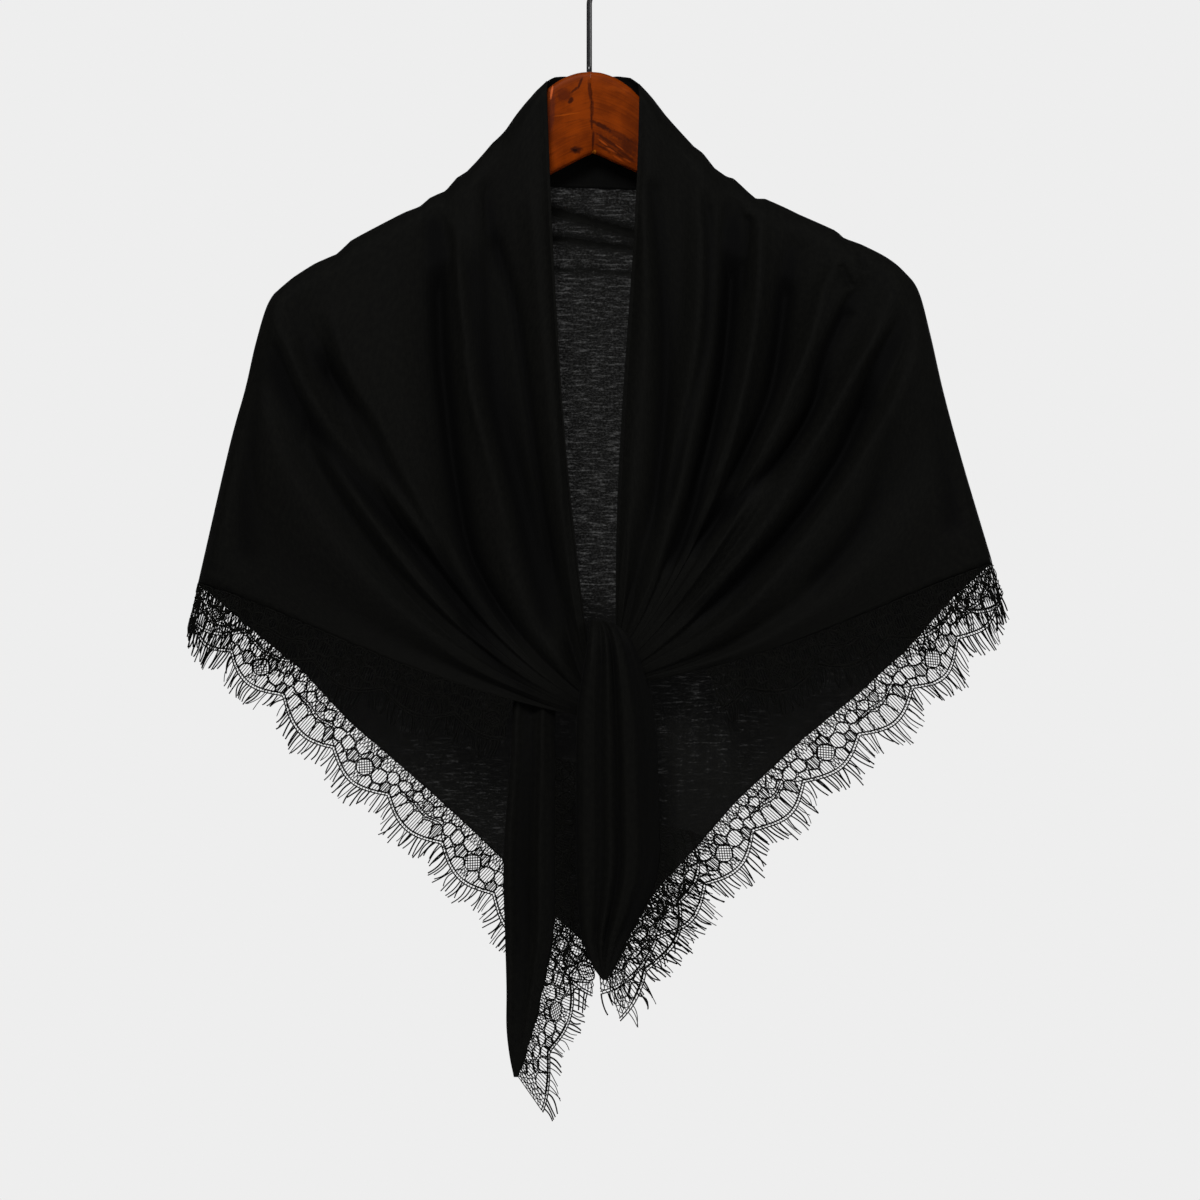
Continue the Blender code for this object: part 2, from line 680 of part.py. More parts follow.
def add_wing(collection, name, rows, tie_y, cloth):
    """Adds a wing and returns the middle of its wall along the hem, from the corner to the tie."""
    s = np.linspace(0.0, len(rows) - 1, 2 * len(rows) - 1)
    t = np.array([0, 0.004, 0.011, 0.022, 0.04, 0.07, 0.12, 0.19, 0.27, 0.36, 0.46, 0.56, 0.66, 0.76, 0.86, 0.94, 1])
    outer = wing_points(rows, s, t, tie_y)
    seam = np.zeros(outer.shape[:2], bool)
    seam[:, 0] = True
    hem_side = smooth((s - len(rows) + 3.0) / 2.0)[:, None]
    steady = np.maximum(smooth((t - 0.5) / 0.3), hem_side * smooth(t / 0.2))[..., None]
    inner = cloth_wall(outer, CLOTH_WALL, (0.0, 1.0, 0.0), seam, steady)
    add_object(collection, name, *close_wall(outer, inner), cloth)
    return 0.5 * (outer[-1] + inner[-1])


def add_back(collection, cloth):
    """Adds the back panel and returns the middle of its wall along the hem, left to right."""
    columns = np.linspace(0.0, 1.0, 31)
    rows = np.array([0, 0.012, 0.03, 0.06, 0.11, 0.17, 0.24, 0.32, 0.4, 0.48, 0.56, 0.64, 0.72, 0.8, 0.88, 0.95, 1])
    outer = back_points(columns, rows)
    seam = np.zeros(outer.shape[:2], bool)
    seam[:, 0] = np.abs(outer[:, 0, 0] - 2.0) > 27.0
    seam[0] = True
    seam[-1] = True
    flat = (np.abs(outer[..., 0] - 2.0) < 36.0) | (rows[None] > 0.2)
    inner = cloth_wall(outer, CLOTH_WALL, (0.0, -1.0, 0.0), seam, 0.85 * flat[..., None])
    add_object(collection, "back_panel", *close_wall(outer, inner), cloth)
    return 0.5 * (outer[:, -1] + inner[:, -1])


def add_tail(collection, name, sections, folds, count, cloth):
    """Adds a tail and returns the middle of its wall along the right edge."""
    across = np.asarray(folds, float)[:, 0]
    across = np.sort(np.concatenate([across, 0.5 * (across[1:] + across[:-1])]))
    along = np.linspace(0.0, len(sections) - 1, count)
    outer = tail_points(sections, folds, across, along)
    tip = smooth((along - len(sections) + 4.0) / 3.0)[:, None, None]
    inner = cloth_wall(outer, CLOTH_WALL, (0.0, 1.0, 0.0), None, tip)
    add_object(collection, name, *close_wall(outer, inner), cloth)
    return 0.5 * (outer[:, -1] + inner[:, -1])


def below(edge, top_z):
    """The part of an edge below a height."""
    return edge[edge[:, 2] < top_z]


def main():
    collection = clear_scene()
    knit = material("black_knit", (0.0085, 0.008, 0.0072), 0.9)
    lace = material("black_lace", (0.012, 0.0115, 0.013), 0.85)
    yarn = material("black_lash_yarn", (0.012, 0.0115, 0.013), 0.85)
    wood = material("stained_wood", (0.235, 0.052, 0.008), 0.35)
    wire = material("black_wire", (0.012, 0.012, 0.013), 0.25, 0.6)

    add_arm(collection, "hanger_arm_left", -1, wood)
    add_arm(collection, "hanger_arm_right", 1, wood)
    add_hook(collection, wire)

    back_hem = add_back(collection, knit)
    band = turn_in_points()
    inner = cloth_wall(band, CLOTH_WALL, (0.0, -1.0, 0.0))
    add_object(collection, "neck_turn_in", *close_wall(band, inner), knit)

    hem_left = add_wing(collection, "wing_left", WING_LEFT, TIE_Y_LEFT, knit)
    hem_right = add_wing(collection, "wing_right", WING_RIGHT, TIE_Y_RIGHT, knit)
    edge_right = add_tail(collection, "tail_right", TAIL_RIGHT, TAIL_RIGHT_FOLDS, 24, knit)
    edge_left = add_tail(collection, "tail_left", TAIL_LEFT, TAIL_LEFT_FOLDS, 16, knit)

    middle = len(back_hem) // 2
    edge_left, edge_right = below(edge_left, -556.0), below(edge_right, -600.0)
    add_lace(collection, "back_left", back_hem[: middle + 1], LACE_BACK_LEFT, 0.3, 11, 0.5, 0.0, lace, yarn)
    add_lace(collection, "back_right", back_hem[middle:], LACE_BACK_RIGHT, 0.9, 12, 0.5, 0.0, lace, yarn)
    add_lace(collection, "wing_left", hem_left[1:-2], LACE_WING_LEFT, 0.2, 13, 0.8, 0.0, lace, yarn)
    add_lace(collection, "wing_right", hem_right[1:-3], LACE_WING_RIGHT, 0.7, 14, 0.8, 0.0, lace, yarn)
    add_lace(collection, "tail_left", edge_left, LACE_TAIL_LEFT, 0.5, 15, 0.8, 0.16, lace, yarn)
    add_lace(collection, "tail_right", edge_right, LACE_TAIL_RIGHT, 0.4, 16, 0.8, 0.12, lace, yarn)


main()
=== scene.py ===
# %% [markdown]
# # A triangle head scarf on a wooden hanger
# The scarf is one large triangle of thin dark knit with scalloped lace and an eyelash fringe
# along its two short edges. Here it hangs over a hanger like a shawl, with its two long ends
# tied in front. Each step below builds one kind of piece as a surface worked out with numpy,
# in millimetres, and then gives it a finish that starts from what the real one is made of.

import bpy
import numpy as np
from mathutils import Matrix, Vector


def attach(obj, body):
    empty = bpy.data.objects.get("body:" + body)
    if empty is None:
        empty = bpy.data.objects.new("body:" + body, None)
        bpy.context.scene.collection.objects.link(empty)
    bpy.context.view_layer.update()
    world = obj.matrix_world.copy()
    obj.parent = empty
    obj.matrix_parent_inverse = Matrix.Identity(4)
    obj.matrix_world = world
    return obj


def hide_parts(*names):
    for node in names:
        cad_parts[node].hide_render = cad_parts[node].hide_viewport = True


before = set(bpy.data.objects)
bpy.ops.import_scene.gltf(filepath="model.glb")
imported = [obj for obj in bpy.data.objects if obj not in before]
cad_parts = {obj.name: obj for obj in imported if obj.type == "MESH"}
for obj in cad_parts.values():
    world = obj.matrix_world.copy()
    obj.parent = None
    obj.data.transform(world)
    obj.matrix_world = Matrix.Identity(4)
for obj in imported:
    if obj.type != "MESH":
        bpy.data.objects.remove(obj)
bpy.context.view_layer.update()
MM = 0.001
TURN = 2.0 * np.pi
print("solids loaded:", len(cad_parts))

# %% [markdown]
# ## Small tools
# Folds, hems and tails are all drawn through a few measured rows. A Catmull-Rom curve passes
# through every row, so a short table is enough for a soft shape. Meshes are made from whole
# arrays: a grid of points becomes quads, and a bundle of paths becomes thin tubes.


# %% Curves through rows
def smooth(value):
    """Soft step from 0 to 1: 3 v squared less 2 v cubed."""
    value = np.clip(value, 0.0, 1.0)
    return value * value * (3.0 - 2.0 * value)


def bell(away, width, power=2):
    """1 in the middle, falling to both sides: e to the minus (away over width) to a power."""
    return np.exp(-((away / width) ** power))


def through(rows, place):
    """Catmull-Rom curve through the rows, row k at place k, for any array of places."""
    rows = np.asarray(rows, float)
    place = np.asarray(place, float)
    padded = np.concatenate([2.0 * rows[:1] - rows[1:2], rows, 2.0 * rows[-1:] - rows[-2:-1]])
    cell = np.clip(np.floor(place).astype(int), 0, len(rows) - 2)
    f = (place - cell)[..., None]
    a, b, c, d = (padded[cell + k] for k in range(4))
    straight = 2.0 * b + (c - a) * f
    bent = (2.0 * a - 5.0 * b + 4.0 * c - d) * f**2 + (3.0 * b - a - 3.0 * c + d) * f**3
    return 0.5 * (straight + bent)


def running_length(points):
    """Distance of each corner of a polyline from its start, along the line."""
    return np.concatenate([[0.0], np.cumsum(np.linalg.norm(np.diff(points, axis=0), axis=1))])


def places(wanted, run, points):
    """Points on a polyline at the wanted values of run, which has one value a corner."""
    return np.stack([np.interp(wanted, run, column) for column in points.T], axis=-1)


def evenly(points, count):
    """count points at equal distances along a polyline."""
    run = running_length(points)
    return places(np.linspace(0.0, run[-1], count), run, points)


def unit(vectors):
    """The same directions with length 1."""
    return vectors / np.maximum(np.linalg.norm(vectors, axis=-1, keepdims=True), 1e-9)


# %% Meshes from arrays
def add_mesh(name, points, faces, surface, uv=None, flat_faces=0):
    """One smooth mesh object from points in millimetres, the last flat_faces of its faces flat.
    uv gives each point's place on the flat piece, also in millimetres, so that a pattern
    keeps its true scale."""
    mesh = bpy.data.meshes.new(name)
    mesh.from_pydata((points * MM).tolist(), [], faces)
    mesh.shade_smooth()
    for face in mesh.polygons[len(faces) - flat_faces :]:
        face.use_smooth = False
    if uv is not None:
        corners = np.empty(len(mesh.loops), np.int32)
        mesh.loops.foreach_get("vertex_index", corners)
        layer = mesh.uv_layers.new(name="cloth_mm")
        layer.data.foreach_set("uv", uv[corners].astype(np.float32).ravel())
    mesh.materials.append(surface)
    obj = bpy.data.objects.new(name, mesh)
    bpy.context.scene.collection.objects.link(obj)
    return obj


def mark(obj, name, values):
    """Stores a number from 0 to 1 on each point, for the knit to read."""
    layer = obj.data.attributes.new(name, "FLOAT", "POINT")
    layer.data.foreach_set("value", np.ascontiguousarray(values, np.float32).ravel())


def add_cloth(name, points, facing, surface, uv, single, painted_shade):
    """A sheet on a grid of points. Its faces look to the side that facing names, and Solidify
    gives it the knit's thickness on the other side. single is how much light the one layer
    lets through, and the last argument is how much shade is painted on it, most deep in a fold."""
    normals = np.cross(np.gradient(points, axis=0), np.gradient(points, axis=1))
    index = np.arange(points[..., 0].size).reshape(points.shape[:2])
    corners = [index[:-1, :-1], index[1:, :-1], index[1:, 1:], index[:-1, 1:]]
    faces = np.stack(corners, axis=-1).reshape(-1, 4)
    if (normals @ np.asarray(facing, float)).sum() < 0:
        faces = faces[:, ::-1]
    obj = add_mesh(name, points.reshape(-1, 3), faces.tolist(), surface, uv.reshape(-1, 2))
    wall = obj.modifiers.new("knit_thickness", "SOLIDIFY")
    wall.thickness = KNIT_THICK * MM
    wall.offset = -1.0
    mark(obj, "single", np.broadcast_to(single, index.shape))
    # Painted shade is stored on the points too, for the knit to darken its colour in folds.
    mark(obj, "painted_shade", np.broadcast_to(painted_shade, index.shape))
    return obj


def tubes(paths, radius, sides=3, closed=False):
    """Thin round tubes along a bundle of paths, an array of (path, point, 3). Each ring is the
    path's point plus radius times a turning mix of two directions square to the path."""
    ahead = np.roll(paths, -1, axis=1) - np.roll(paths, 1, axis=1)
    if not closed:
        ahead[:, 0] = paths[:, 1] - paths[:, 0]
        ahead[:, -1] = paths[:, -1] - paths[:, -2]
    ahead = unit(ahead)
    across = unit(np.cross(ahead, np.array([0.05, 1.0, 0.02])))
    above = np.cross(across, ahead)
    angle = (TURN * np.arange(sides) / sides)[:, None]
    radius = np.broadcast_to(np.asarray(radius, float), paths.shape[:2])[..., None, None]
    ring = across[:, :, None] * np.cos(angle) + above[:, :, None] * np.sin(angle)
    points = paths[:, :, None] + radius * ring
    k, n = paths.shape[:2]
    index = np.arange(k * n * sides).reshape(k, n, sides)
    steps = np.roll(index, -1, axis=1) if closed else index[:, 1:]
    here = index if closed else index[:, :-1]
    corners = [here, steps, np.roll(steps, -1, axis=2), np.roll(here, -1, axis=2)]
    faces = np.stack(corners, axis=-1).reshape(-1, 4)
    return points.reshape(-1, 3), faces


def joined(bundles):
    """Several (points, faces) pairs as one pair."""
    start = np.cumsum([0] + [len(points) for points, faces in bundles[:-1]])
    faces = np.concatenate([faces + first for first, (points, faces) in zip(start, bundles)])
    return np.concatenate([points for points, faces in bundles]), faces


# %% [markdown]
# ## The sizes of the scarf
# These are the rows and depths that the solids are made from, with some rows moved by a few
# millimetres to follow the photo, so every piece lies on its solid. Each row of a wing is one
# fold, from where it starts on the shoulder, side or neck edge to where all folds meet in the
# tie. The last column lifts ridges and sinks troughs.

# %% Cloth sizes in millimetres
# The knit and its seam, how tightly edges roll, how far front and back lie from the hanger's
# middle, how far the sides return, and how far the arms sweep forward over which reach
KNIT_THICK = 0.9
SEAM_GAP = 0.3
DEEPEST_OVER_ARM = 3.2
ROLL_RADIUS = 14.0
NECK_TIGHTER = 7.0
FRONT_DEPTH = 13.0
BACK_DEPTH = 12.0
BELLY = 6.0
NECK_SEAM = 6.5
SIDE_RETURN = 18.0
ARM_SWEEP = 26.0
ARM_REACH = 222.0
OUTLINE_STEPS = 12

# A row for each fold: x and z at its start, one third, two thirds and its end, and its lift
WING_LEFT = np.array((
    (-29, -99, -23, -240, -13, -376, 4, -511, -3.0),
    (-41, -110, -31, -246, -18, -382, 3, -513, 5.0),
    (-62, -138, -61, -260, -38, -386, 2, -515, -6.0),
    (-83, -159, -76, -277, -58, -406, 1, -517, 5.0),
    (-104, -177, -101, -287, -79, -418, 0, -518, -7.0),
    (-131.5, -191.3, -128, -297, -89, -422, -1, -520, 4.0),
    (-170.8, -214.2, -156, -308, -98, -425, -1, -521, 5.0),
    (-203.3, -235.2, -172, -310, -108, -427, -1, -522, -5.0),
    (-215.5, -249, -186, -323, -117, -432, -2, -524, 5.0),
    (-224.6, -277, -195, -337, -126, -439, -2, -525, -6.0),
    (-232, -308, -200, -369, -133, -452, -3, -526, 5.0),
    (-243, -347, -211, -410, -139, -471, -3, -528, -3.0),
    (-265, -439, -197, -464, -116, -497, -4, -529, 0.0),
), float)
WING_RIGHT = np.array((
    (34, -102, 29, -225, 21, -348, 18, -480, -3.0),
    (42, -110, 39, -233, 31, -355, 19, -482, 4.0),
    (58, -128, 59, -246, 45, -369, 19, -484, -5.0),
    (78, -148, 76, -253, 58, -382, 20, -486, 4.0),
    (99, -167, 93, -274, 69, -389, 21, -488, -7.0),
    (116, -178, 110, -272, 79, -386, 21, -490, 6.0),
    (141, -189, 126, -288, 87, -390, 22, -492, -6.0),
    (177, -207, 145, -292, 96, -393, 23, -494, 6.0),
    (200, -219, 162, -298, 106, -397, 23, -496, -5.0),
    (213, -230, 176, -304, 116, -403, 24, -498, 5.0),
    (222, -243, 188, -316, 127, -413, 25, -500, -6.0),
    (230, -272, 198, -337, 137, -427, 25, -502, 6.0),
    (239.5, -312, 208, -368, 146, -445, 26, -504, -3.0),
    (253, -360, 208, -411, 138, -466, 26, -506, 3.0),
    (273, -425, 194, -456, 122, -484, 27, -508, 0.0),
), float)
TIE_Y_LEFT = -27.0
TIE_Y_RIGHT = -28.0
TIE_CURL = 4.0
SHOULDER_ROW_LEFT = 8
SHOULDER_ROW_RIGHT = 10
# Back of the neck: x, z, depth
NECK_EDGE = np.array((
    (-24, -95.6, 9.0), (-18, -94.6, 11.2), (0, -94.4, 11.6), (20, -94.6, 11.2),
    (28, -96.8, 9.0),
), float)
# Hem of the back from corner to corner: x, z
BACK_HEM = np.array((
    (-265, -439), (-231, -468), (-197, -497), (-163, -533), (-109, -580), (-59, -627),
    (-22, -667), (5, -692), (27, -671), (52, -641), (75, -616), (102, -586), (143, -547),
    (184, -513), (214, -486), (245, -450), (273, -425),
), float)
BACK_POINT_ROW = 7
print("folds in the wings:", len(WING_LEFT), "and", len(WING_RIGHT))

# %% [markdown]
# ## The two wings
# A wing is the half of the triangle that comes over one shoulder and runs to the tie. Real
# knit under a tie falls in long folds that fan out from it, so the grid of the surface is
# laid along those folds: s counts the folds and t runs down each one. Modelling along the
# folds keeps them crisp with few points. Sharper creases are drawn on top as lines with a
# height and a width, and small rises of the shoulder line mark where folds cross it.


# %% Depth of the worn cloth
def arm_y(x):
    """Depth of the arms' middle in mm: they sweep forward with the square of x."""
    return -ARM_SWEEP * np.minimum(np.abs(x) / ARM_REACH, 1.0) ** 2


def fold_y(x, z):
    """Depth of the outline in mm: that of the arms, and the sides come back again below."""
    return arm_y(x) + SIDE_RETURN * np.clip((-250.0 - z) / 190.0, 0.0, 1.0)


def near_neck(x):
    """1 beside the neck and 0 on the shoulders."""
    return 1.0 - smooth((np.abs(x) - 34.0) / 24.0)


def rolled(distance, radius=ROLL_RADIUS):
    """Quarter round: 0 at the outline, 1 at one radius away from it."""
    q = np.clip(distance / radius, 0.0, 1.0)
    return np.sqrt(1.0 - (1.0 - q) ** 2)


def wing_outline(rows):
    """The start of every fold as a fine polyline of x, z and depth."""
    fine = through(rows, np.linspace(0, len(rows) - 1, OUTLINE_STEPS * (len(rows) - 1) + 1))
    depth = fold_y(fine[:, 0], fine[:, 1]) + NECK_SEAM * near_neck(fine[:, 0])
    return np.stack([fine[:, 0], fine[:, 1], depth], axis=1)


def nearest(x, z, line):
    """Distance of each point to a polyline, and the place of the nearest spot on it: the
    number of the corner before it plus the share of the stretch after that corner."""
    flat = np.stack([x.ravel(), z.ravel()], axis=1)
    best = np.full(len(flat), np.inf)
    place = np.zeros(len(flat))
    for k, (start, end) in enumerate(zip(line[:-1], line[1:])):
        side = end - start
        share = np.clip((flat - start) @ side / (side @ side), 0.0, 1.0)
        gap = np.linalg.norm(flat - start - share[:, None] * side, axis=1)
        nearer = gap < best
        best = np.where(nearer, gap, best)
        place = np.where(nearer, k + share, place)
    return best.reshape(x.shape), place.reshape(x.shape)


def from_outline(x, z, outline):
    """Distance of each point to the outline, and the outline's depth at the nearest place."""
    distance, place = nearest(x, z, outline[:, :2])
    return distance, np.interp(place, np.arange(len(outline)), outline[:, 2])


# %% The surface of a wing
# A fold's height over its width squared, the share of its length where it is full, its height
# at the start, and the depth of a trough at which the shade painted into it is full
STEEPEST_FOLD = 0.03
FULL_FOLD = 0.35
START_FOLD = 0.25
SHADE_FULL_DEPTH = 5.6
# Creases soften by this share towards the tie, and the edges curl in there
TIE_SOFTENS = 0.45
SOFTENS_FROM = 0.7
CURLS_FROM = 0.72
# Distance from the outline where the wood ends below the cloth, and how much deeper a trough
# may be past it
ARM_COVERS = 40.0
DEEPER_BELOW_ARM = 12.0


def fold_place(folds, t):
    """x and z at the share t of each fold: the cubic through its four points (Lagrange),
    which lie at 0, 1/3, 2/3 and 1 of its length."""
    knots = (0.0, 1.0 / 3.0, 2.0 / 3.0, 1.0)
    weights = []
    for k, knot in enumerate(knots):
        weight = np.ones_like(t)
        for m, other in enumerate(knots):
            if m != k:
                weight = weight * (t - other) / (knot - other)
        weights.append(weight)
    x = sum(weights[k] * folds[..., 2 * k] for k in range(4))
    z = sum(weights[k] * folds[..., 2 * k + 1] for k in range(4))
    return x, z


def fold_reach(rows, s, t):
    """The highest fold that fits between its neighbours: a share of their distance squared."""
    low = through(rows, np.clip(s - 0.5, 0, len(rows) - 1))
    high = through(rows, np.clip(s + 0.5, 0, len(rows) - 1))
    x, z = fold_place(high - low, t)
    return STEEPEST_FOLD * (x * x + z * z)


def crease_lift(x, z, lines):
    """Ridges and troughs along drawn lines: the height times a bell of the distance to the
    line over its width, which fades in and out over an eighth of the line at its ends."""
    lift = np.zeros(x.shape)
    for height, width, *row in lines:
        corners = np.array(row, float).reshape(-1, 2)
        line = through(corners, np.linspace(0, len(corners) - 1, 4 * len(corners) - 3))
        gap, place = nearest(x, z, line)
        place = place / (len(line) - 1)
        ends = smooth(8.0 * place) * smooth(8.0 * (1.0 - place))
        lift += height * bell(gap, width) * ends
    return lift


# %% Relief of a wing
# Small rises and dips of the shoulder line where folds cross it: x and height in mm
OUTLINE_RISE = (
    (-217, 0.0), (-210, -1.5), (-200, -0.3), (-185, -0.2), (-176, -1.6), (-170.5, -2.6),
    (-166, -1.0), (-161, 0.9), (-156, 0.9), (-135, 0.2), (-124, 0.0), (-115, -0.8), (-108, 1.7),
    (-103, 1.0), (-97.5, -0.8), (-90, 1.4), (-83, -0.7), (-77, 0.0), (-66, 2.0), (-57, 0.0),
    (-50, 0.8), (-40, 0.0), (-29, 1.6), (-20, 1.2), (0, 0.4), (14, 0.8), (22, 1.4), (33, 2.8),
    (43, 1.8), (52, 0.0), (62, -0.6), (71, -1.4), (77, 0.0), (85, -2.8), (93, -1.2), (98, 1.6),
    (103, 0.8), (113, -2.0), (119, 1.0), (126, 0.9), (142, 0.0), (160, 0.7), (167, 0.9),
    (172, -1.4), (183, 0.0), (200, 0.0),
)


def outline_rise(x, z, distance):
    """The rise at x, which fades out over about 20 mm below the shoulder line and at the
    sides."""
    rise = np.interp(x, *np.array(OUTLINE_RISE, float).T)
    return rise * bell(distance, 16.0) * smooth((z + 262.0) / 30.0)


def wing_points(rows, s, t, tie_y, lines):
    """Outer face of a wing. x and z follow the fold lines. y is the outline's depth, then the
    rolled shoulder, then a straight fall to the tie with a belly, with the folds laid on.
    Also returns the shade painted on each point, from 0 to 1, by how deep in a fold it lies."""
    s_grid, t_grid = np.meshgrid(s, t, indexing="ij")
    values = through(rows, s_grid)
    x, z = fold_place(values, t_grid)
    distance, edge_y = from_outline(x, z, wing_outline(rows))
    start_y = fold_y(values[..., 0], values[..., 1]) - FRONT_DEPTH
    hang = (1.0 - t_grid) * start_y + t_grid * tie_y - BELLY * np.sin(np.pi * t_grid)
    reach = fold_reach(rows, s_grid, t_grid)
    grown = START_FOLD + (1.0 - START_FOLD) * smooth(t_grid / FULL_FOLD)
    lift = np.clip(values[..., 8], -reach, reach) * grown
    crease = crease_lift(x, z, lines)
    crease = crease * (1.0 - TIE_SOFTENS * smooth((t_grid - SOFTENS_FROM) / 0.3))
    across = 2.0 * s_grid / (len(rows) - 1) - 1.0
    curl = TIE_CURL * across**2 * smooth((t_grid - CURLS_FROM) / 0.25)
    roll = rolled(distance, ROLL_RADIUS - NECK_TIGHTER * near_neck(x))
    # Over the arm a trough can't go deeper than the wood allows.
    deepest = -DEEPEST_OVER_ARM - DEEPER_BELOW_ARM * smooth((distance - ARM_COVERS) / 26.0)
    relief = np.maximum(lift + crease, deepest)
    y = edge_y + (hang - relief + curl - edge_y) * roll - 0.5 * SEAM_GAP
    # Shade is painted by the depth of the troughs, fading out towards the outline.
    painted_shade = np.clip(-(crease + 0.35 * lift) / SHADE_FULL_DEPTH, 0.0, 1.0)
    painted_shade = painted_shade * roll * smooth(distance / 18.0)
    return np.stack([x, y, z + outline_rise(x, z, distance)], axis=-1), painted_shade


# %% Creases of the wings: height (a trough is below 0), width, then x and z of each corner
CREASES_LEFT = (
    (-6.8, 6.5, -216, -266, -204, -304, -186, -333, -159, -367, -132, -400, -105, -430, -53, -504),
    (2.9, 5.0, -206, -268, -192, -302, -175, -329, -149, -360, -122, -392, -96, -425),
    (-4.7, 6.0, -195, -272, -175, -297, -150, -331, -132, -367, -105, -412, -87, -444, -40, -504),
    (3.4, 6.0, -177, -247, -159, -301, -141, -331, -114, -385, -96, -421),
    (-7.4, 5.5, -107, -184, -103, -214, -100, -287, -96, -322, -89, -376, -77, -430, -37, -491),
    (-2.7, 3.0, -94, -196, -91, -250, -85, -287),
    (4.0, 5.0, -92, -181, -87, -252, -79, -312, -62, -368, -48, -420),
    (-6.4, 8.5, -80, -200, -75, -258, -66, -312, -50, -372, -34, -440, -22, -490),
    (-4.4, 3.6, -71, -160, -63, -208, -50, -252, -40, -320, -30, -390, -20, -450),
    (2.9, 7.0, -39, -167, -33, -248, -25, -329, -20, -410),
    (-3.6, 8.0, -221, -275, -227, -329, -231, -383, -231, -434),
    (2.9, 8.0, -241, -329, -247, -383, -253, -437),
    (-4.1, 6.0, -87, -458, -64, -492, -33, -520),
)
CREASES_RIGHT = (
    (2.9, 7.0, 34, -174, 40, -248, 41, -329, 34, -410),
    (-4.7, 5.5, 42, -161, 45, -193, 50, -262, 49, -336, 40, -423),
    (-4.2, 4.0, 78, -168, 81, -214, 78, -278, 63, -341, 50, -400),
    (-7.4, 5.5, 98, -173, 96, -223, 92, -287, 86, -322, 77, -363, 64, -407, 49, -437),
    (-3.4, 3.0, 108, -189, 106, -214, 104, -248),
    (4.0, 5.5, 116, -181, 113, -250, 105, -304, 94, -346, 77, -383),
    (-6.1, 5.5, 139, -202, 131, -250, 123, -314, 108, -349, 85, -394, 65, -427),
    (4.6, 5.0, 173, -216, 158, -241, 144, -287, 126, -322, 108, -358, 83, -393),
    (-6.1, 5.0, 188, -227, 160, -282, 150, -322, 133, -349, 108, -376, 75, -413),
    (4.6, 6.0, 205, -256, 180, -293, 162, -324, 142, -353, 116, -381, 75, -430, 48, -461),
    (-6.1, 6.0, 216, -256, 197, -290, 181, -326, 168, -357, 142, -394, 115, -421, 83, -451, 56, -471),
    (3.4, 6.0, 222, -282, 205, -316, 189, -343, 164, -380, 133, -421, 100, -461, 65, -484),
    (-3.4, 7.0, 207, -329, 196, -363, 181, -403, 142, -450),
    (-3.4, 2.6, 168, -224, 172, -232, 176, -241),
    (-2.7, 2.6, 181, -210, 183, -220, 186, -230),
    (-4.1, 9.0, 239, -316, 243, -363, 247, -410),
)

# %% [markdown]
# ## The back panel
# The middle of the triangle hangs behind with its point down. It is fixed between four edges:
# the shoulder line, two sides and the hem. A patch between four edges (a Coons patch) fills
# the sheet from them. Across the shoulder blades the weight of the sides pulls a few level
# creases, and below them the cloth hangs in soft upright waves.


# %% The surface of the back panel
def back_outline():
    """Top and sides of the back panel, from the left corner over the neck to the right one."""
    return np.concatenate([wing_outline(WING_LEFT)[::-1], NECK_EDGE, wing_outline(WING_RIGHT)])


# Level creases below the back of the neck: z at the left and right of the gap, height, width
NECK_CREASES = (
    (-189.0, -197.5, 2.6, 4.4),
    (-205.5, -209.5, 2.2, 3.2),
    (-225.6, -227.0, 1.5, 1.6),
)
GAP_LEFT_X = -11.0
GAP_RIGHT_X = 19.0
GAP_X = 0.5 * (GAP_LEFT_X + GAP_RIGHT_X)


def neck_creases(x, z):
    """Bells of the given width about slanting level lines, that fade out to both sides."""
    share = (x - GAP_LEFT_X) / (GAP_RIGHT_X - GAP_LEFT_X)
    beside = bell(x - GAP_X, 70.0, 4)
    rise = np.zeros_like(x)
    for left, right, height, width in NECK_CREASES:
        line = left + (right - left) * share
        rise = rise + height * beside * bell(z - line, width)
    return rise


# Drag creases of the back on both sides of the neck gap: height, width, x and z of corners
BACK_CREASES = (
    (2.6, 8.0, -188, -262, -150, -292, -105, -312, -58, -318),
    (-2.8, 7.0, -200, -292, -152, -324, -100, -342, -60, -346),
    (2.2, 8.0, -205, -340, -160, -366, -110, -380, -66, -382),
    (2.6, 8.0, 180, -246, 140, -280, 100, -302, 66, -308),
    (-2.8, 7.0, 198, -282, 150, -314, 104, -334, 68, -338),
    (2.2, 8.0, 206, -330, 160, -356, 112, -372, 72, -376),
    (2.4, 9.0, -92, -395, -88, -450, -74, -520, -50, -600),
    (2.4, 9.0, 128, -400, 118, -450, 100, -510, 72, -572),
)
# Upright waves of the back: height, length and the x of a crest
BACK_WAVES = ((3.4, 96.0, 8.0), (2.2, 57.0, -21.0))
# Below, the back hangs this far behind in the middle, and comes forward to its two corners
LOW_DEPTH = 12.0
CORNER_FORWARD = 20.0
HALF_WIDTH = 267.0
# Flutes of the right corner: where they start, their height and length
FLUTE_X = 175.0
FLUTE_HEIGHT = 2.4
FLUTE_LENGTH = 50.0


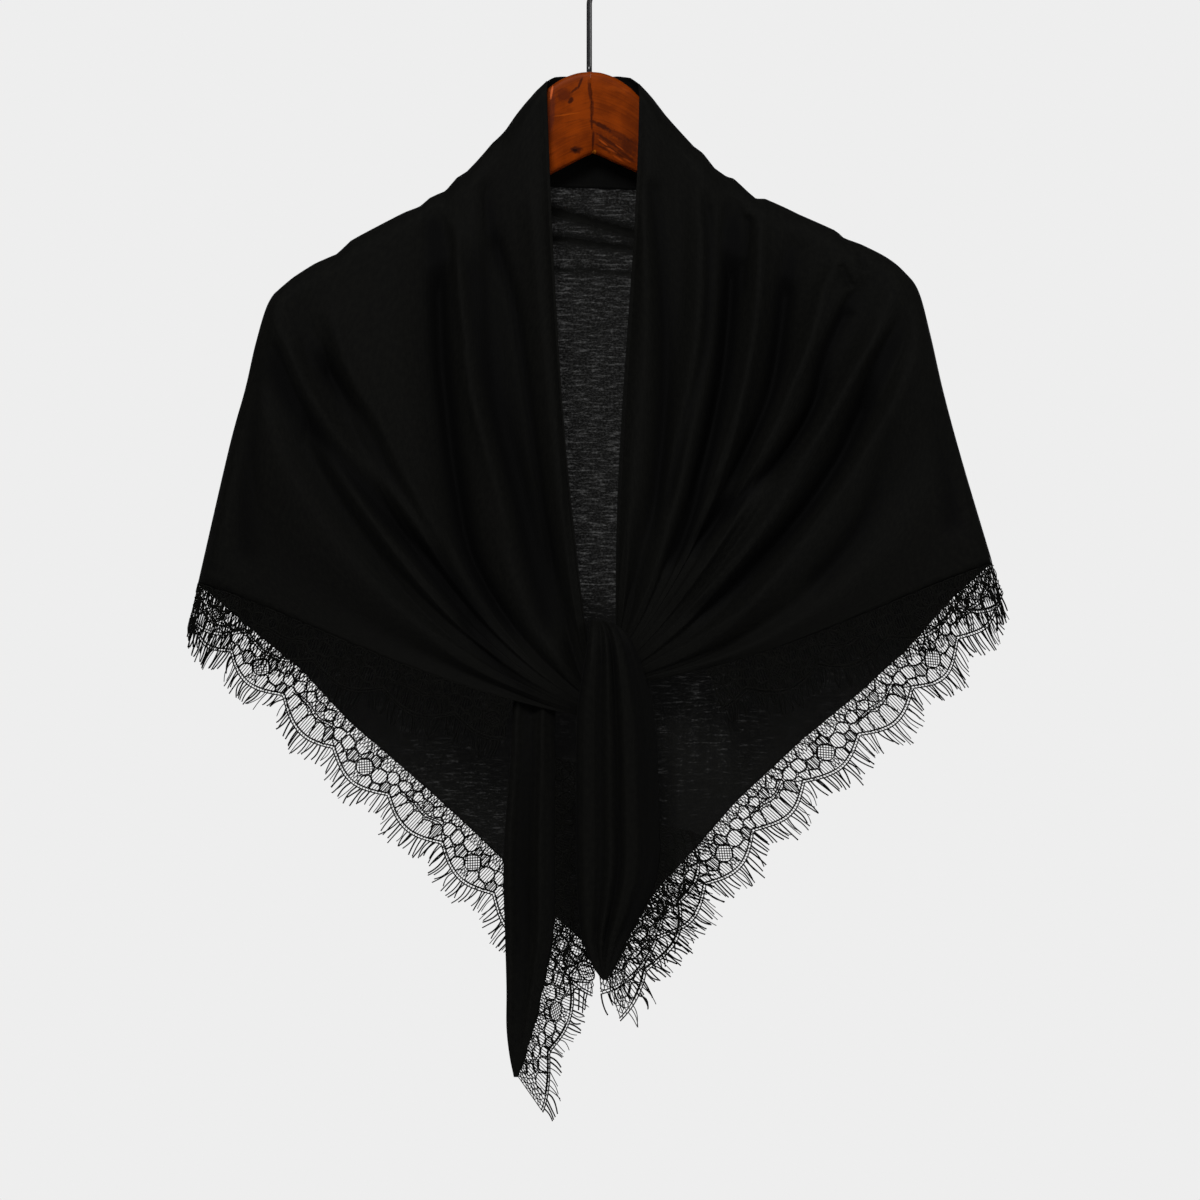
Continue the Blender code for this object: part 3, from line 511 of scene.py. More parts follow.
def back_y(x, z):
    """Depth of the back panel: it falls from the hanger, hangs a little fuller in the middle
    below, and cosine waves of different length grow downwards as upright folds."""
    distance, edge_y = from_outline(x, z, back_outline())
    low = smooth((-230.0 - z) / 260.0)
    below = LOW_DEPTH - CORNER_FORWARD * (x / HALF_WIDTH) ** 2
    hang = (arm_y(x) + BACK_DEPTH) * (1.0 - low) + below * low
    waves = sum(h * np.cos(TURN * (x - crest) / length) for h, length, crest in BACK_WAVES)
    inside = smooth(distance / 60.0)
    # The right corner, where the wing pulls on it, hangs in small flutes.
    corner = smooth((x - FLUTE_X) / 40.0) * FLUTE_HEIGHT
    corner = corner * np.sin(TURN * (x - FLUTE_X - 5.0) / FLUTE_LENGTH)
    flute = corner * smooth((-400.0 - z) / 60.0) * smooth((268.0 - x) / 16.0)
    hang = hang + (waves * inside + flute) * low + crease_lift(x, z, BACK_CREASES) * inside
    return edge_y + (hang - edge_y) * rolled(distance) + 0.5 * SEAM_GAP


def back_plan(columns, rows):
    """x and z of the back panel: opposite edges mixed both ways, less the mixed corners."""
    middle = len(columns) // 2
    tops, sides = [], []
    neck = NECK_EDGE[:, :2]
    left = (WING_LEFT, SHOULDER_ROW_LEFT, neck[:3])
    right = (WING_RIGHT, SHOULDER_ROW_RIGHT, neck[:1:-1])
    for wing, shoulder, half_neck in (left, right):
        line = wing[:, :2]
        over = through(line, np.linspace(shoulder, 0, 60))
        tops.append(evenly(np.concatenate([over, half_neck]), middle + 1))
        down = through(line, np.linspace(shoulder, len(line) - 1, 40))
        run = np.linspace(0.0, 1.0, len(rows))
        sides.append(places(rows, run, evenly(down, len(rows))))
    top = np.concatenate([tops[0], tops[1][-2::-1]])
    hem_left = evenly(BACK_HEM[: BACK_POINT_ROW + 1], middle + 1)
    hem_right = evenly(BACK_HEM[BACK_POINT_ROW:], middle + 1)
    bottom = np.concatenate([hem_left, hem_right[1:]])
    u = columns[:, None, None]
    v = rows[None, :, None]
    ruled = (1 - v) * top[:, None] + v * bottom[:, None]
    ruled = ruled + (1 - u) * sides[0][None] + u * sides[1][None]
    upper = (1 - u) * top[0] + u * top[-1]
    lower = (1 - u) * bottom[0] + u * bottom[-1]
    return ruled - ((1 - v) * upper + v * lower)


# %% [markdown]
# ## Tails and the turned-in neck band
# The ends of the triangle go over each other in a half knot and hang down as two narrow
# tails. A tail is a row of sections carried along a path, with its folds pushed out square
# to that path. At the back of the neck the long edge of the triangle is turned in by about
# 75 mm, which doubles the cloth there.

# %% Sections of the tails: left x, right x, z, y
TAIL_RIGHT = (
    (-3, 10, -520, -24.45),
    (-3, 13, -513, -15.5),
    (-2, 13, -498, -13.0),
    (-1, 13, -482, -15.0),
    (0, 13, -470, -21.0),
    (1, 15, -464.5, -32.0),
    (0, 25, -470, -42.5),
    (-2, 32, -484, -47.0),
    (-5, 38, -504, -46.5),
    (-8, 43, -525, -43.0),
    (-9, 46, -556, -37.0),
    (-9, 47, -592, -31.0),
    (-9, 48, -626, -26.0),
    (-8, 41, -652, -23.0),
    (-5, 27, -679, -20.0),
    (2, 18, -697, -18.0),
    (9, 12, -707, -17.0),
)
TAIL_LEFT = (
    (-38, -14, -500, -18.6),
    (-49, -20, -512, -19.6),
    (-52, -23, -530, -20.6),
    (-53, -23, -559, -22.0),
    (-57, -23, -607, -20.0),
    (-58, -23, -641, -18.0),
    (-57, -24, -675, -16.0),
    (-56, -31, -712, -14.5),
    (-56, -37, -739, -13.5),
    (-54, -43, -758, -13.0),
    (-51, -48, -773, -13.0),
)
# Across a tail from -1 to 1: place and lift of each fold
TAIL_RIGHT_FOLDS = (
    (-1.0, -4.0), (-0.8, 1.6), (-0.6, 0.8), (-0.4, -2.6), (-0.18, 1.2), (0.02, -3.4),
    (0.2, 1.6), (0.42, 0.0), (0.58, -4.2), (0.8, -4.4), (1.0, -7.0),
)
TAIL_LEFT_FOLDS = (
    (-1.0, -1.5), (-0.78, 1.8), (-0.5, -2.6), (-0.15, -4.6), (0.18, -1.0), (0.4, 3.0),
    (0.7, -0.8), (1.0, -4.0),
)


# Half width of a tail at which its folds are full, and the depth at which the shade painted into them
# is full
FULL_TAIL = 18.0
TAIL_SHADE_DEPTH = 5.5
# The band at the neck: middle, half width at the top, how much wider it is below, its top in
# the middle, how far the arch falls to the sides, and how far it lies in front of the back
BAND_X = 1.5
BAND_HALF = 27.0
BAND_WIDER = 14.0
BAND_TOP_Z = -98.0
BAND_ARCH = 22.0
BAND_FOOT_Z = -170.0
BAND_GAP = 2.3


def tail_points(sections, folds, across, along):
    """Outer face of a tail: the section's middle plus half its width across, and the fold's
    lift pushed out along the path's normal, calmer where the tail is narrow. Also returns
    the shade painted on each point, from 0 to 0.8, by how deep in a fold it lies."""
    path = through(sections, along)
    ahead = through(sections, np.clip(along + 0.05, 0, len(sections) - 1))
    behind = through(sections, np.clip(along - 0.05, 0, len(sections) - 1))
    way = unit((ahead - behind)[:, 2:])
    folds = np.asarray(folds, float)
    lift = through(folds[:, 1:], np.interp(across, folds[:, 0], np.arange(len(folds))))[:, 0]
    half = 0.5 * (path[:, 1] - path[:, 0])
    push = lift[None] * np.clip(half / FULL_TAIL, 0.0, 1.0)[:, None] ** 2
    x = 0.5 * (path[:, 0] + path[:, 1])[:, None] + half[:, None] * across[None]
    y = path[:, 3:4] + way[:, 0:1] * push
    z = path[:, 2:3] - way[:, 1:2] * push
    return np.stack([x, y, z], axis=-1), np.clip(-push / TAIL_SHADE_DEPTH, 0.0, 0.8)


def turn_in_points(across, down):
    """The turned-in band, just in front of the back panel: a level strip that ends in the
    side folds, with an arched top."""
    u, v = np.meshgrid(across, down, indexing="ij")
    x = BAND_X + u * (BAND_HALF + BAND_WIDER * v)
    top = BAND_TOP_Z - BAND_ARCH * u**4
    z = top + (BAND_FOOT_Z - 1.5 * u - top) * v
    return np.stack([x, back_y(x, z) - BAND_GAP, z], axis=-1)


# %% [markdown]
# ## Colours and a node helper
# Photographs and paint charts give colours as sRGB hex values, but light is added up in
# linear numbers, so one function turns them. Every material below is built by the same two
# small functions: one adds a node, and the other sets or links the inputs of any node.


# %% One colour function and one node function
def linear(hex_colour):
    """An sRGB hex colour as linear red, green, blue and alpha 1."""
    part = np.array([int(hex_colour[k : k + 2], 16) for k in (1, 3, 5)]) / 255.0
    low = part / 12.92
    high = ((part + 0.055) / 1.055) ** 2.4
    return (*np.where(part <= 0.04045, low, high).tolist(), 1.0)


def feed(tree, made, **inputs):
    """Sets the inputs of a node. Each is a number, a colour, the output of another node or a
    node, which stands for its first output. An input goes by its name with _ for a space, or
    by i and its number."""
    for key, value in inputs.items():
        numbered = key[0] == "i" and key[1:].isdigit()
        socket = made.inputs[int(key[1:]) if numbered else key.replace("_", " ")]
        if isinstance(value, bpy.types.Node):
            value = value.outputs[0]
        if isinstance(value, bpy.types.NodeSocket):
            tree.links.new(value, socket)
        else:
            socket.default_value = value
    return made


def node(tree, kind, settings=None, stops=(), **inputs):
    """Adds a node. Settings are its own fields, stops the places and colours of its ramp."""
    made = tree.nodes.new(kind)
    for key, value in (settings or {}).items():
        setattr(made, key, value)
    for k, (place, colour) in enumerate(stops):
        made.color_ramp.elements[k].position = place
        made.color_ramp.elements[k].color = linear(colour)
    return feed(tree, made, **inputs)


def new_material(name):
    """An empty material: its node tree and its Principled shader."""
    made = bpy.data.materials.new(name)
    made.use_nodes = True
    return made, made.node_tree, made.node_tree.nodes["Principled BSDF"]


# %% [markdown]
# ## Fine dark knit
# The cloth is a thin single jersey in near-black with a slubby, melange yarn. Seen singly
# against the light it lets pinpricks through between the stitches, in level streaks, while
# two layers look solid. So the material has a small pattern of openings in millimetres of
# flat cloth, a fine rib bump and a faint sheen from the fibre ends.


# %% Knit material
# The real cloth is a fine single jersey of viscose, dyed near black and not pressed. It looks
# matt and a little brown, with pinholes where it hangs singly. Shade is painted into its folds
# as a darker colour.
FLAT = {"noise_dimensions": "2D"}
MULTIPLY_ADD = {"operation": "MULTIPLY_ADD"}
COLOURS = {"data_type": "RGBA"}


def make_knit():
    """Thin melange jersey: the yarn's dark colour, slubs, openings between the stitches, and painted
    shade in the folds.
    """
    made, tree, shader = new_material("melange_jersey")
    place = node(tree, "ShaderNodeUVMap", {"uv_map": "cloth_mm"})
    # Grain is one or two stitches wide. Dashes run level, about 10 mm long and 1.5 mm tall.
    small = node(tree, "ShaderNodeMapping", Vector=place, Scale=(0.55, 0.95, 1.0))
    long = node(tree, "ShaderNodeMapping", Vector=place, Scale=(0.09, 0.62, 1.0))
    grain = node(tree, "ShaderNodeTexNoise", FLAT, Vector=small, Scale=1.0, Detail=3.0, Roughness=0.7)
    dash = node(tree, "ShaderNodeTexNoise", FLAT, Vector=long, Scale=1.0, Detail=3.0, Roughness=0.6)
    fine = node(tree, "ShaderNodeMapRange", Value=grain, i1=0.42, i2=0.78)
    level = node(tree, "ShaderNodeMapRange", Value=dash, i1=0.5, i2=0.74)
    both = node(tree, "ShaderNodeMath", {"operation": "ADD"}, i0=fine, i1=level)
    gap = node(tree, "ShaderNodeMath", MULTIPLY_ADD, i0=both, i1=0.15, i2=0.044)
    free = node(tree, "ShaderNodeAttribute", {"attribute_name": "single"}).outputs["Fac"]
    scale = node(tree, "ShaderNodeMapRange", Value=free, i3=0.55, i4=1.0)
    less = node(tree, "ShaderNodeMapRange", Value=free, i3=-0.085, i4=0.0)
    flecks = node(tree, "ShaderNodeMath", MULTIPLY_ADD, i0=gap, i1=scale, i2=less)
    veil = node(tree, "ShaderNodeMapRange", Value=free, i2=0.2, i4=0.05)
    light = node(tree, "ShaderNodeMath", {"operation": "MAXIMUM"}, i0=flecks, i1=veil)
    # Where two layers lie together the attribute is 0 and nothing stays open.
    layer = node(tree, "ShaderNodeMapRange", Value=free, i2=0.1)
    light = node(tree, "ShaderNodeMath", {"operation": "MULTIPLY"}, i0=light, i1=layer)
    solid = node(tree, "ShaderNodeMath", {"operation": "SUBTRACT"}, i0=1.0, i1=light)
    slub = node(tree, "ShaderNodeTexNoise", FLAT, Vector=place, Scale=0.3, Detail=4.0)
    tone = node(tree, "ShaderNodeValToRGB", None, ((0.35, "#070706"), (0.75, "#0b0b09")), Fac=slub)
    # Wales are about 0.8 mm apart; drawn at 2.4 mm, because 0.8 mm is near one pixel.
    bands = {"bands_direction": "X"}
    wales = node(tree, "ShaderNodeTexWave", bands, Vector=place, Scale=0.13, Distortion=0.6)
    bump = node(tree, "ShaderNodeBump", Height=wales, Strength=0.12, Distance=0.0004)
    # Painted shade: the points' shade share mixes the colour towards near black, in folds, on the neck
    # band and inside the neck.
    deep = node(tree, "ShaderNodeAttribute", {"attribute_name": "painted_shade"}).outputs["Fac"]
    fold = node(tree, "ShaderNodeMix", COLOURS, i0=deep, i6=tone, i7=linear("#030303"))
    feed(tree, shader, Base_Color=fold.outputs[2], Alpha=solid, Normal=bump, Roughness=0.78)
    feed(tree, shader, Sheen_Weight=0.004, Sheen_Roughness=0.5, Specular_IOR_Level=0.05)
    return made


knit = make_knit()
print("material:", knit.name)


# %% Thread material for lace and lashes
# The lace is made of twisted rayon on a machine, and its thread isn't polished. It looks black
# with a weak lustre, and the lashes, which are single threads, a little darker than the net.
def make_thread(name, shade):
    """Rayon thread: near black with a weak lustre, a little lighter and darker by place."""
    made, tree, shader = new_material(name)
    place = node(tree, "ShaderNodeTexCoord").outputs["Object"]
    wear = node(tree, "ShaderNodeTexNoise", Vector=place, Scale=180.0, Detail=2.0)
    tone = node(tree, "ShaderNodeValToRGB", None, ((0.0, "#090908"), (1.0, shade)), Fac=wear)
    feed(tree, shader, Base_Color=tone, Roughness=0.6, Specular_IOR_Level=0.03)
    return made


lace_thread = make_thread("rayon_lace_thread", "#11110f")
lash_thread = make_thread("rayon_lash_thread", "#0f0f0e")
print("materials:", lace_thread.name, lash_thread.name)


# %% How much light the back lets through
# Where the back hangs singly below the wings: x, z, half width, half height, share of light
THIN_PATCHES = (
    (-104, -572, 40, 34, 0.36),
    (-66, -606, 22, 34, 0.34),
    (66, -545, 24, 60, 0.4),
    (96, -540, 30, 40, 0.3),
    (170, -508, 32, 22, 0.2),
    (-175, -511, 30, 24, 0.14),
)
# Narrow upright folds of the back beside the right tail, where the cloth lies double: x, width
UPRIGHT_FOLDS = ((57.0, 3.0), (65.5, 2.6), (75.5, 3.0), (84.0, 2.6), (98.0, 3.4))
# Share of light that comes through beside the neck gap, how far to each side of the gap's
# middle all of it does, and where the gap and the band end
THROUGH_BACK = 0.22
GAP_HALF = 58.0
GAP_END_Z = -478.0
BAND_END_Z = -166.0


def see_through(x, z):
    """Share of light that the back lets through: all of it in the neck gap, about a fifth
    beside and below it, more in a few patches, each a bell, and half on the upright folds."""
    gap = bell(x - GAP_X, GAP_HALF, 6) * smooth((z - GAP_END_Z) / 40.0)
    share = THROUGH_BACK + (1.0 - THROUGH_BACK) * gap
    for centre_x, centre_z, wide, tall, light in THIN_PATCHES:
        share = share + light * bell(x - centre_x, wide) * bell(z - centre_z, tall)
    below = smooth((-505.0 - z) / 30.0)
    for fold_x, wide in UPRIGHT_FOLDS:
        share = share * (1.0 - 0.5 * below * bell(x - fold_x, wide))
    # Beside and above the turned-in band the cloth lies double.
    return np.clip(share, 0.0, 1.0) * smooth((BAND_END_Z - z) / 4.0)


# %% Build the cloth
FRONT = (0, -1, 0)
BEHIND = (0, 1, 0)
# Points down a wing, across and along a tail, across and down the back and the band
WING_DOWN = 150
TAIL_GRID = (81, 181)
BACK_GRID = (233, 195)
BAND_GRID = (49, 41)


def flat_uv(points):
    """Place on the flat cloth in mm: the running length across and down the grid."""
    across = np.diff(points, axis=0, prepend=points[:1])
    down = np.diff(points, axis=1, prepend=points[:, :1])
    u = np.linalg.norm(across, axis=-1).cumsum(axis=0).mean(axis=1, keepdims=True)
    v = np.linalg.norm(down, axis=-1).cumsum(axis=1)
    return np.stack([np.broadcast_to(u, v.shape), v], axis=-1)


def make_wing(name, rows, tie_y, lines):
    """A wing as a sheet, and its hem from the corner to the tie. The grid is finer near the
    shoulder, where the cloth bends most."""
    s = np.linspace(0.0, len(rows) - 1, OUTLINE_STEPS * (len(rows) - 1) + 1)
    t = np.linspace(0.0, 1.0, WING_DOWN) ** 1.6
    points, painted_shade = wing_points(rows, s, t, tie_y, lines)
    return add_cloth(name, points, FRONT, knit, flat_uv(points), 0.0, painted_shade), points[-1]


def make_tail(name, sections, folds):
    """A tail as a sheet, and its right edge from top to tip."""
    across = np.linspace(-1.0, 1.0, TAIL_GRID[0])
    along = np.linspace(0.0, len(sections) - 1, TAIL_GRID[1])
    points, painted_shade = tail_points(sections, folds, across, along)
    return add_cloth(name, points, FRONT, knit, points[..., [0, 2]], 0.0, painted_shade), points[:, -1]


def make_back(name):
    """The back as a sheet, and its hem from left to right. Shade is painted on it at the top, inside
    the neck.
    """
    columns, rows = (np.linspace(0.0, 1.0, count) for count in BACK_GRID)
    plan = back_plan(columns, rows**1.15)
    x, z = plan[..., 0], plan[..., 1]
    crease = neck_creases(x, z)
    edge_gap = from_outline(x, z, back_outline())[0]
    points = np.stack([x, back_y(x, z) + crease, z + outline_rise(x, z, edge_gap)], axis=-1)
    single = see_through(x, z) * (1.0 - np.clip(crease / 1.6, 0.0, 1.0))
    # Painted shade inside the neck: full above about z -116 mm, none below z -140 mm.
    painted_shade = 0.8 * smooth((z + 140.0) / 24.0)
    return add_cloth(name, points, BEHIND, knit, plan, single, painted_shade), points[:, -1]


wing_left, hem_left = make_wing("scarf_wing_left", WING_LEFT, TIE_Y_LEFT, CREASES_LEFT)
wing_right, hem_right = make_wing("scarf_wing_right", WING_RIGHT, TIE_Y_RIGHT, CREASES_RIGHT)
back, hem_back = make_back("scarf_back")
grid = turn_in_points(np.linspace(-1.0, 1.0, BAND_GRID[0]), np.linspace(0.0, 1.0, BAND_GRID[1]))
# The turned-in band lies in the neck's shade, painted at 0.75 of full shade.
band = add_cloth("neck_band", grid, FRONT, knit, grid[..., [0, 2]], 0.0, 0.75)
tail_right, edge_right = make_tail("scarf_end_right", TAIL_RIGHT, TAIL_RIGHT_FOLDS)
tail_left, edge_left = make_tail("scarf_end_left", TAIL_LEFT, TAIL_LEFT_FOLDS)
print("cloth pieces:", [o.name for o in (wing_left, wing_right, back, band, tail_right, tail_left)])

# %% [markdown]
# ## The lace, drawn flat
# The edging is a machine lace: a fine net, flowers and fans outlined with a thicker thread
# (the gimp), cells filled with upright threads, a double line along each scallop and lashes
# left uncut below it. A plane with a picture of holes would look flat from near, so every
# thread is a real thin tube. The pattern is charted flat, u along the hem and v below it,
# and then hung from the hem.

# %% The chart: two scallops that take turns
# Depth of the net, rise and pitch of the scallops
LACE_DEPTH = 21.0
SCALLOP_RISE = 9.0
SCALLOP_PITCH = 50.0
# Radius of each kind of thread. Real threads of this lace are 0.2 to 0.5 mm thick. They are
# drawn about twice as thick and as far apart, because they are narrower than one pixel.
GIMP = 0.56
HATCH = 0.37
NET = 0.36
LASH = 0.7
# Distance between threads, and the strip along the hem where net and cells lie together
NET_PITCH = 3.0
HATCH_PITCH = 1.75
LASH_PITCH = 2.3
HEM_NET = 7.0
LASH_LENGTH = 15.2
# Share of lashes that start a new tuft, how far roots lean to the middle of their tuft, and
# the share of thin lashes
NEW_TUFT = 0.42
TUFT_PULL = 0.36
THIN_LASHES = 0.25
# Two lines of gimp along the scallops, and rungs between them
BORDER = 1.9
RUNG_PITCH = 2.0
# Half the wall between two cells, and how square their corners are
WALL = 0.36
ROUND = 9.0
# A site of the chart: u from the scallop's middle, v below the hem, size in mm, and what fills
# it: 1 the ground's upright threads, 2 a honeycomb, 3 twice as many upright threads, 0 bare net.
FLOWER_SITES = (
    (0.0, 15.7, 5.8, 2), (-9.6, 6.6, 5.6, 1), (-3.6, 9.0, 3.1, 3), (4.2, 8.8, 3.4, 3),
    (12.6, 15.0, 5.2, 1), (11.4, 5.2, 4.6, 1), (-11.8, 15.6, 4.2, 3), (-7.6, 22.8, 4.2, 1),
    (-0.3, 25.0, 2.8, 0), (6.8, 22.6, 4.0, 1), (14.2, 22.4, 3.4, 1), (-19.4, 11.4, 4.2, 1),
    (2.4, 2.3, 2.6, 1), (-17.6, 3.4, 3.0, 1), (20.4, 10.2, 3.4, 1), (-3.0, 1.8, 2.2, 0),
    (17.8, 2.4, 2.6, 0), (19.8, 17.6, 3.0, 3), (-15.6, 20.4, 3.0, 1), (-21.6, 17.6, 2.6, 1),
    (24.2, 4.2, 2.4, 1),
)
FAN_SITES = (
    (-8.6, 19.6, 4.9, 1), (0.3, 20.6, 5.1, 1), (9.1, 19.4, 4.9, 1), (-16.6, 17.2, 4.2, 1),
    (16.2, 15.8, 3.8, 3), (21.8, 11.0, 3.6, 1), (0.0, 8.2, 2.9, 3), (-0.6, 2.6, 2.0, 0),
    (-9.4, 8.0, 3.5, 1), (8.8, 6.8, 3.6, 1), (-6.2, 2.8, 2.5, 1), (-13.8, 3.2, 2.9, 1),
    (4.8, 2.3, 2.3, 1), (15.6, 5.0, 3.3, 1), (-20.2, 8.4, 3.6, 1), (-13.6, 10.8, 2.4, 3),
    (-4.8, 12.6, 2.3, 0), (4.6, 12.8, 2.3, 0), (12.0, 11.4, 2.2, 1), (-22.4, 2.4, 2.6, 0),
    (21.4, 2.8, 2.6, 1), (22.4, 18.6, 2.8, 1), (-22.8, 15.6, 2.8, 1),
)
# Long arcs of gimp over the fan, through four points: u and v of each
FAN_CURVES = (
    (-22.0, 14.6, -9.0, 13.4, 2.0, 15.2, 13.4, 11.6),
    (-20.0, 12.6, -8.0, 11.8, 4.0, 13.2, 14.6, 9.6),
    (13.4, 11.6, 18.0, 12.6, 20.6, 16.5, 24.8, 19.0),
)


def scallop_depth(u, phase):
    """Depth of the lace at u: the net's depth plus one arch of a sine for each scallop."""
    return LACE_DEPTH + SCALLOP_RISE * np.abs(np.sin(np.pi * u / SCALLOP_PITCH + phase))


def cell_loops(sites, phase, points=30):
    """A loop of gimp around each site. Along each ray the wall to a neighbour lies at (distance
    squared plus own size squared less its size squared) over twice the neighbour's distance
    along the ray. A soft minimum over all neighbours gives packed cells with round corners."""
    angle = TURN * np.arange(points) / points
    ray = np.stack([np.cos(angle), np.sin(angle)])
    apart = sites[None, :, :2] - sites[:, None, :2]
    power = (apart**2).sum(axis=2) + sites[:, None, 2] ** 2 - sites[None, :, 2] ** 2
    along = apart @ ray
    wall = 0.5 * np.maximum(power, 2.0)[..., None] / np.maximum(along, 0.01)
    wall = np.where(along > 0.01, wall, np.inf)
    reach = (wall**-ROUND).sum(axis=1) ** (-1.0 / ROUND) - WALL
    reach = np.clip(reach, 0.5, 2.0 * sites[:, 2:3])
    u = sites[:, 0:1] + reach * ray[0]
    v = np.clip(sites[:, 1:2] + reach * ray[1], 0.2, scallop_depth(u, phase) - 2.4)
    return np.stack([u, v], axis=-1)


def cut_by_loop(loop, u):
    """Lowest and highest v of a loop on each upright line u, or nan where they don't meet."""
    after = np.roll(loop, -1, axis=0)
    span = after[:, 0] - loop[:, 0]
    span = np.where(np.abs(span) < 1e-6, 1e-6, span)
    share = (u[:, None] - loop[:, 0]) / span
    meets = (share >= 0) & (share < 1)
    v = loop[:, 1] + share * (after[:, 1] - loop[:, 1])
    hit = meets.any(axis=1)
    low = np.where(hit, np.min(np.where(meets, v, np.inf), axis=1), np.nan)
    high = np.where(hit, np.max(np.where(meets, v, -np.inf), axis=1), np.nan)
    return low, high


def inside_loops(loops, u, v):
    """True where a point lies inside any of the loops, by the loop's span at that u."""
    found = np.zeros(u.shape, bool)
    for loop in loops:
        near = np.abs(u - loop[:, 0].mean()) < 9.0
        low, high = cut_by_loop(loop, u[near])
        found[near] |= (v[near] > low) & (v[near] < high)
    return found


print("cells in one repeat:", len(FLOWER_SITES) + len(FAN_SITES))


# %% Threads of one stretch of lace, still flat
def upright(u, low, high):
    """Straight upright threads at each u, from low to high, as pairs of points."""
    good = np.isfinite(low) & np.isfinite(high) & (high > low + 0.3)
    u, low, high = u[good], low[good], high[good]
    return np.stack([np.stack([u, low], -1), np.stack([u, high], -1)], axis=1)


def within(table, length):
    """True for each path that lies inside the stretch, with 1 mm to spare."""
    return (table[..., 0].min(axis=1) > -1.0) & (table[..., 0].max(axis=1) < length + 1.0)


def chart(length, phase, first):
    """The sites and the long curves of a stretch. The two scallops take turns, first says which
    comes first, and sines move each site by about half a millimetre."""
    offset = phase * SCALLOP_PITCH / np.pi
    count = int(length / SCALLOP_PITCH) + 3
    centres = np.arange(-1, count) * SCALLOP_PITCH + 0.5 * SCALLOP_PITCH - offset
    kinds = (np.arange(len(centres)) + first) % 2
    sites, curves = [], []
    for centre, kind in zip(centres, kinds):
        here = np.array(FAN_SITES if kind else FLOWER_SITES, float)
        seed = np.arange(len(here)) * 2.4 + 0.37 * centre
        here[:, 0] += centre + 0.6 * np.sin(5.0 * seed)
        here[:, 1] += 0.5 * np.cos(4.0 * seed)
        sites.append(here)
        if kind:
            table = np.array(FAN_CURVES, float).reshape(-1, 4, 2) + np.array([centre, 0.0])
            table = table[within(table, length)]
            curves.extend(through(row, np.linspace(0.0, 3.0, 14)) for row in table)
    return np.concatenate(sites), np.array(curves)


def stretch_threads(length, phase, first):
    """All paths of a stretch as lists of (paths, radius, closed): cells, curves, border,
    rungs, ground threads, net and honeycomb."""
    sites, curves = chart(length, phase, first)
    loops = cell_loops(sites, phase)
    keep = within(loops, length) & (sites[:, 3] > 0)
    sites, loops = sites[keep], loops[keep]
    honey = list(loops[sites[:, 3] == 2])
    fills = []
    for loop in loops[sites[:, 3] == 3]:
        u = np.arange(loop[:, 0].min() + 0.3, loop[:, 0].max(), 1.2)
        fills.append(upright(u, *cut_by_loop(loop, u)))
    run = np.linspace(0.0, length, int(length / 1.5) + 2)
    depth = scallop_depth(run, phase)
    border = np.stack([np.stack([run, depth], -1), np.stack([run, depth - BORDER], -1)])
    u = np.arange(0.8, length, RUNG_PITCH)
    rungs = upright(u, scallop_depth(u, phase) - BORDER, scallop_depth(u, phase))
    rungs[:, 1, 0] += 0.5
    # Ground threads run down the whole lace, but for the honeycomb.
    u = np.arange(0.5, length, HATCH_PITCH)
    top, bottom = np.zeros_like(u), scallop_depth(u, phase) - 1.6
    for loop in honey:
        low, high = cut_by_loop(loop, u)
        fills.append(upright(u, high, bottom))
        bottom = np.where(np.isfinite(low), low, bottom)
    fills.append(upright(u, top, bottom))
    return [
        (loops, GIMP, True),
        (curves, GIMP, False),
        (border, GIMP, False),
        (rungs, NET, False),
        (np.concatenate(fills), HATCH, False),
        (net_threads(length, phase, loops), NET, False),
        (honeycomb(honey), 1.1 * NET, False),
    ]


def net_threads(length, phase, loops):
    """The ground net: knots on a slanting grid, each moved a little by a sine of its place,
    and two families of threads between them, above the border and outside the cells, but for
    a strip along the hem where net and cells lie together."""
    column = np.arange(-6, int(length / NET_PITCH) + 6)
    row = np.arange(0, int(33.0 / NET_PITCH) + 1)
    i, j = np.meshgrid(column, row, indexing="ij")
    u = (i + 0.5 * (j % 2)) * NET_PITCH + 0.55 * np.sin(12.9 * i + 4.1 * j)
    v = j * 0.8 * NET_PITCH + 0.45 * np.sin(7.3 * i + 9.7 * j)
    knots = np.stack([u, np.maximum(v, 0.0)], axis=-1)
    shift = j[1:-1, :-1] % 2
    kept = []
    for side in (0, 1):
        below = np.clip(i[1:-1, :-1] + 6 + side - 1 + shift, 0, len(column) - 1)
        begin = knots[1:-1, :-1].reshape(-1, 2)
        end = knots[below, j[1:-1, 1:]].reshape(-1, 2)
        middle = 0.5 * (begin + end)
        good = (middle[:, 0] > 0.0) & (middle[:, 0] < length)
        good &= middle[:, 1] < scallop_depth(middle[:, 0], phase) - 1.4
        good &= (middle[:, 1] < HEM_NET) | ~inside_loops(loops, middle[:, 0], middle[:, 1])
        kept.append(np.stack([begin[good], end[good]], axis=1))
    return np.concatenate(kept)


def honeycomb(loops):
    """A finer net of two slanting families inside the flower's middle."""
    kept = [np.zeros((0, 2, 2))]
    for loop in loops:
        low, high = loop.min(axis=0), loop.max(axis=0)
        for sign in (-1.0, 1.0):
            for offset in np.arange(-14.0, 14.0, 2.4):
                u = np.linspace(low[0], high[0], 9)
                v = 0.5 * (low[1] + high[1]) + offset + sign * (u - u.mean())
                begin, end = np.stack([u[:-1], v[:-1]], -1), np.stack([u[1:], v[1:]], -1)
                middle = 0.5 * (begin + end)
                good = inside_loops([loop], middle[:, 0], middle[:, 1])
                kept.append(np.stack([begin[good], end[good]], axis=1))
    return np.concatenate(kept)


# %% Hang the lace from its hem
RIPPLE = 1.6
RIPPLE_LENGTH = 37.0
GIMP_STANDS_OUT = 0.25


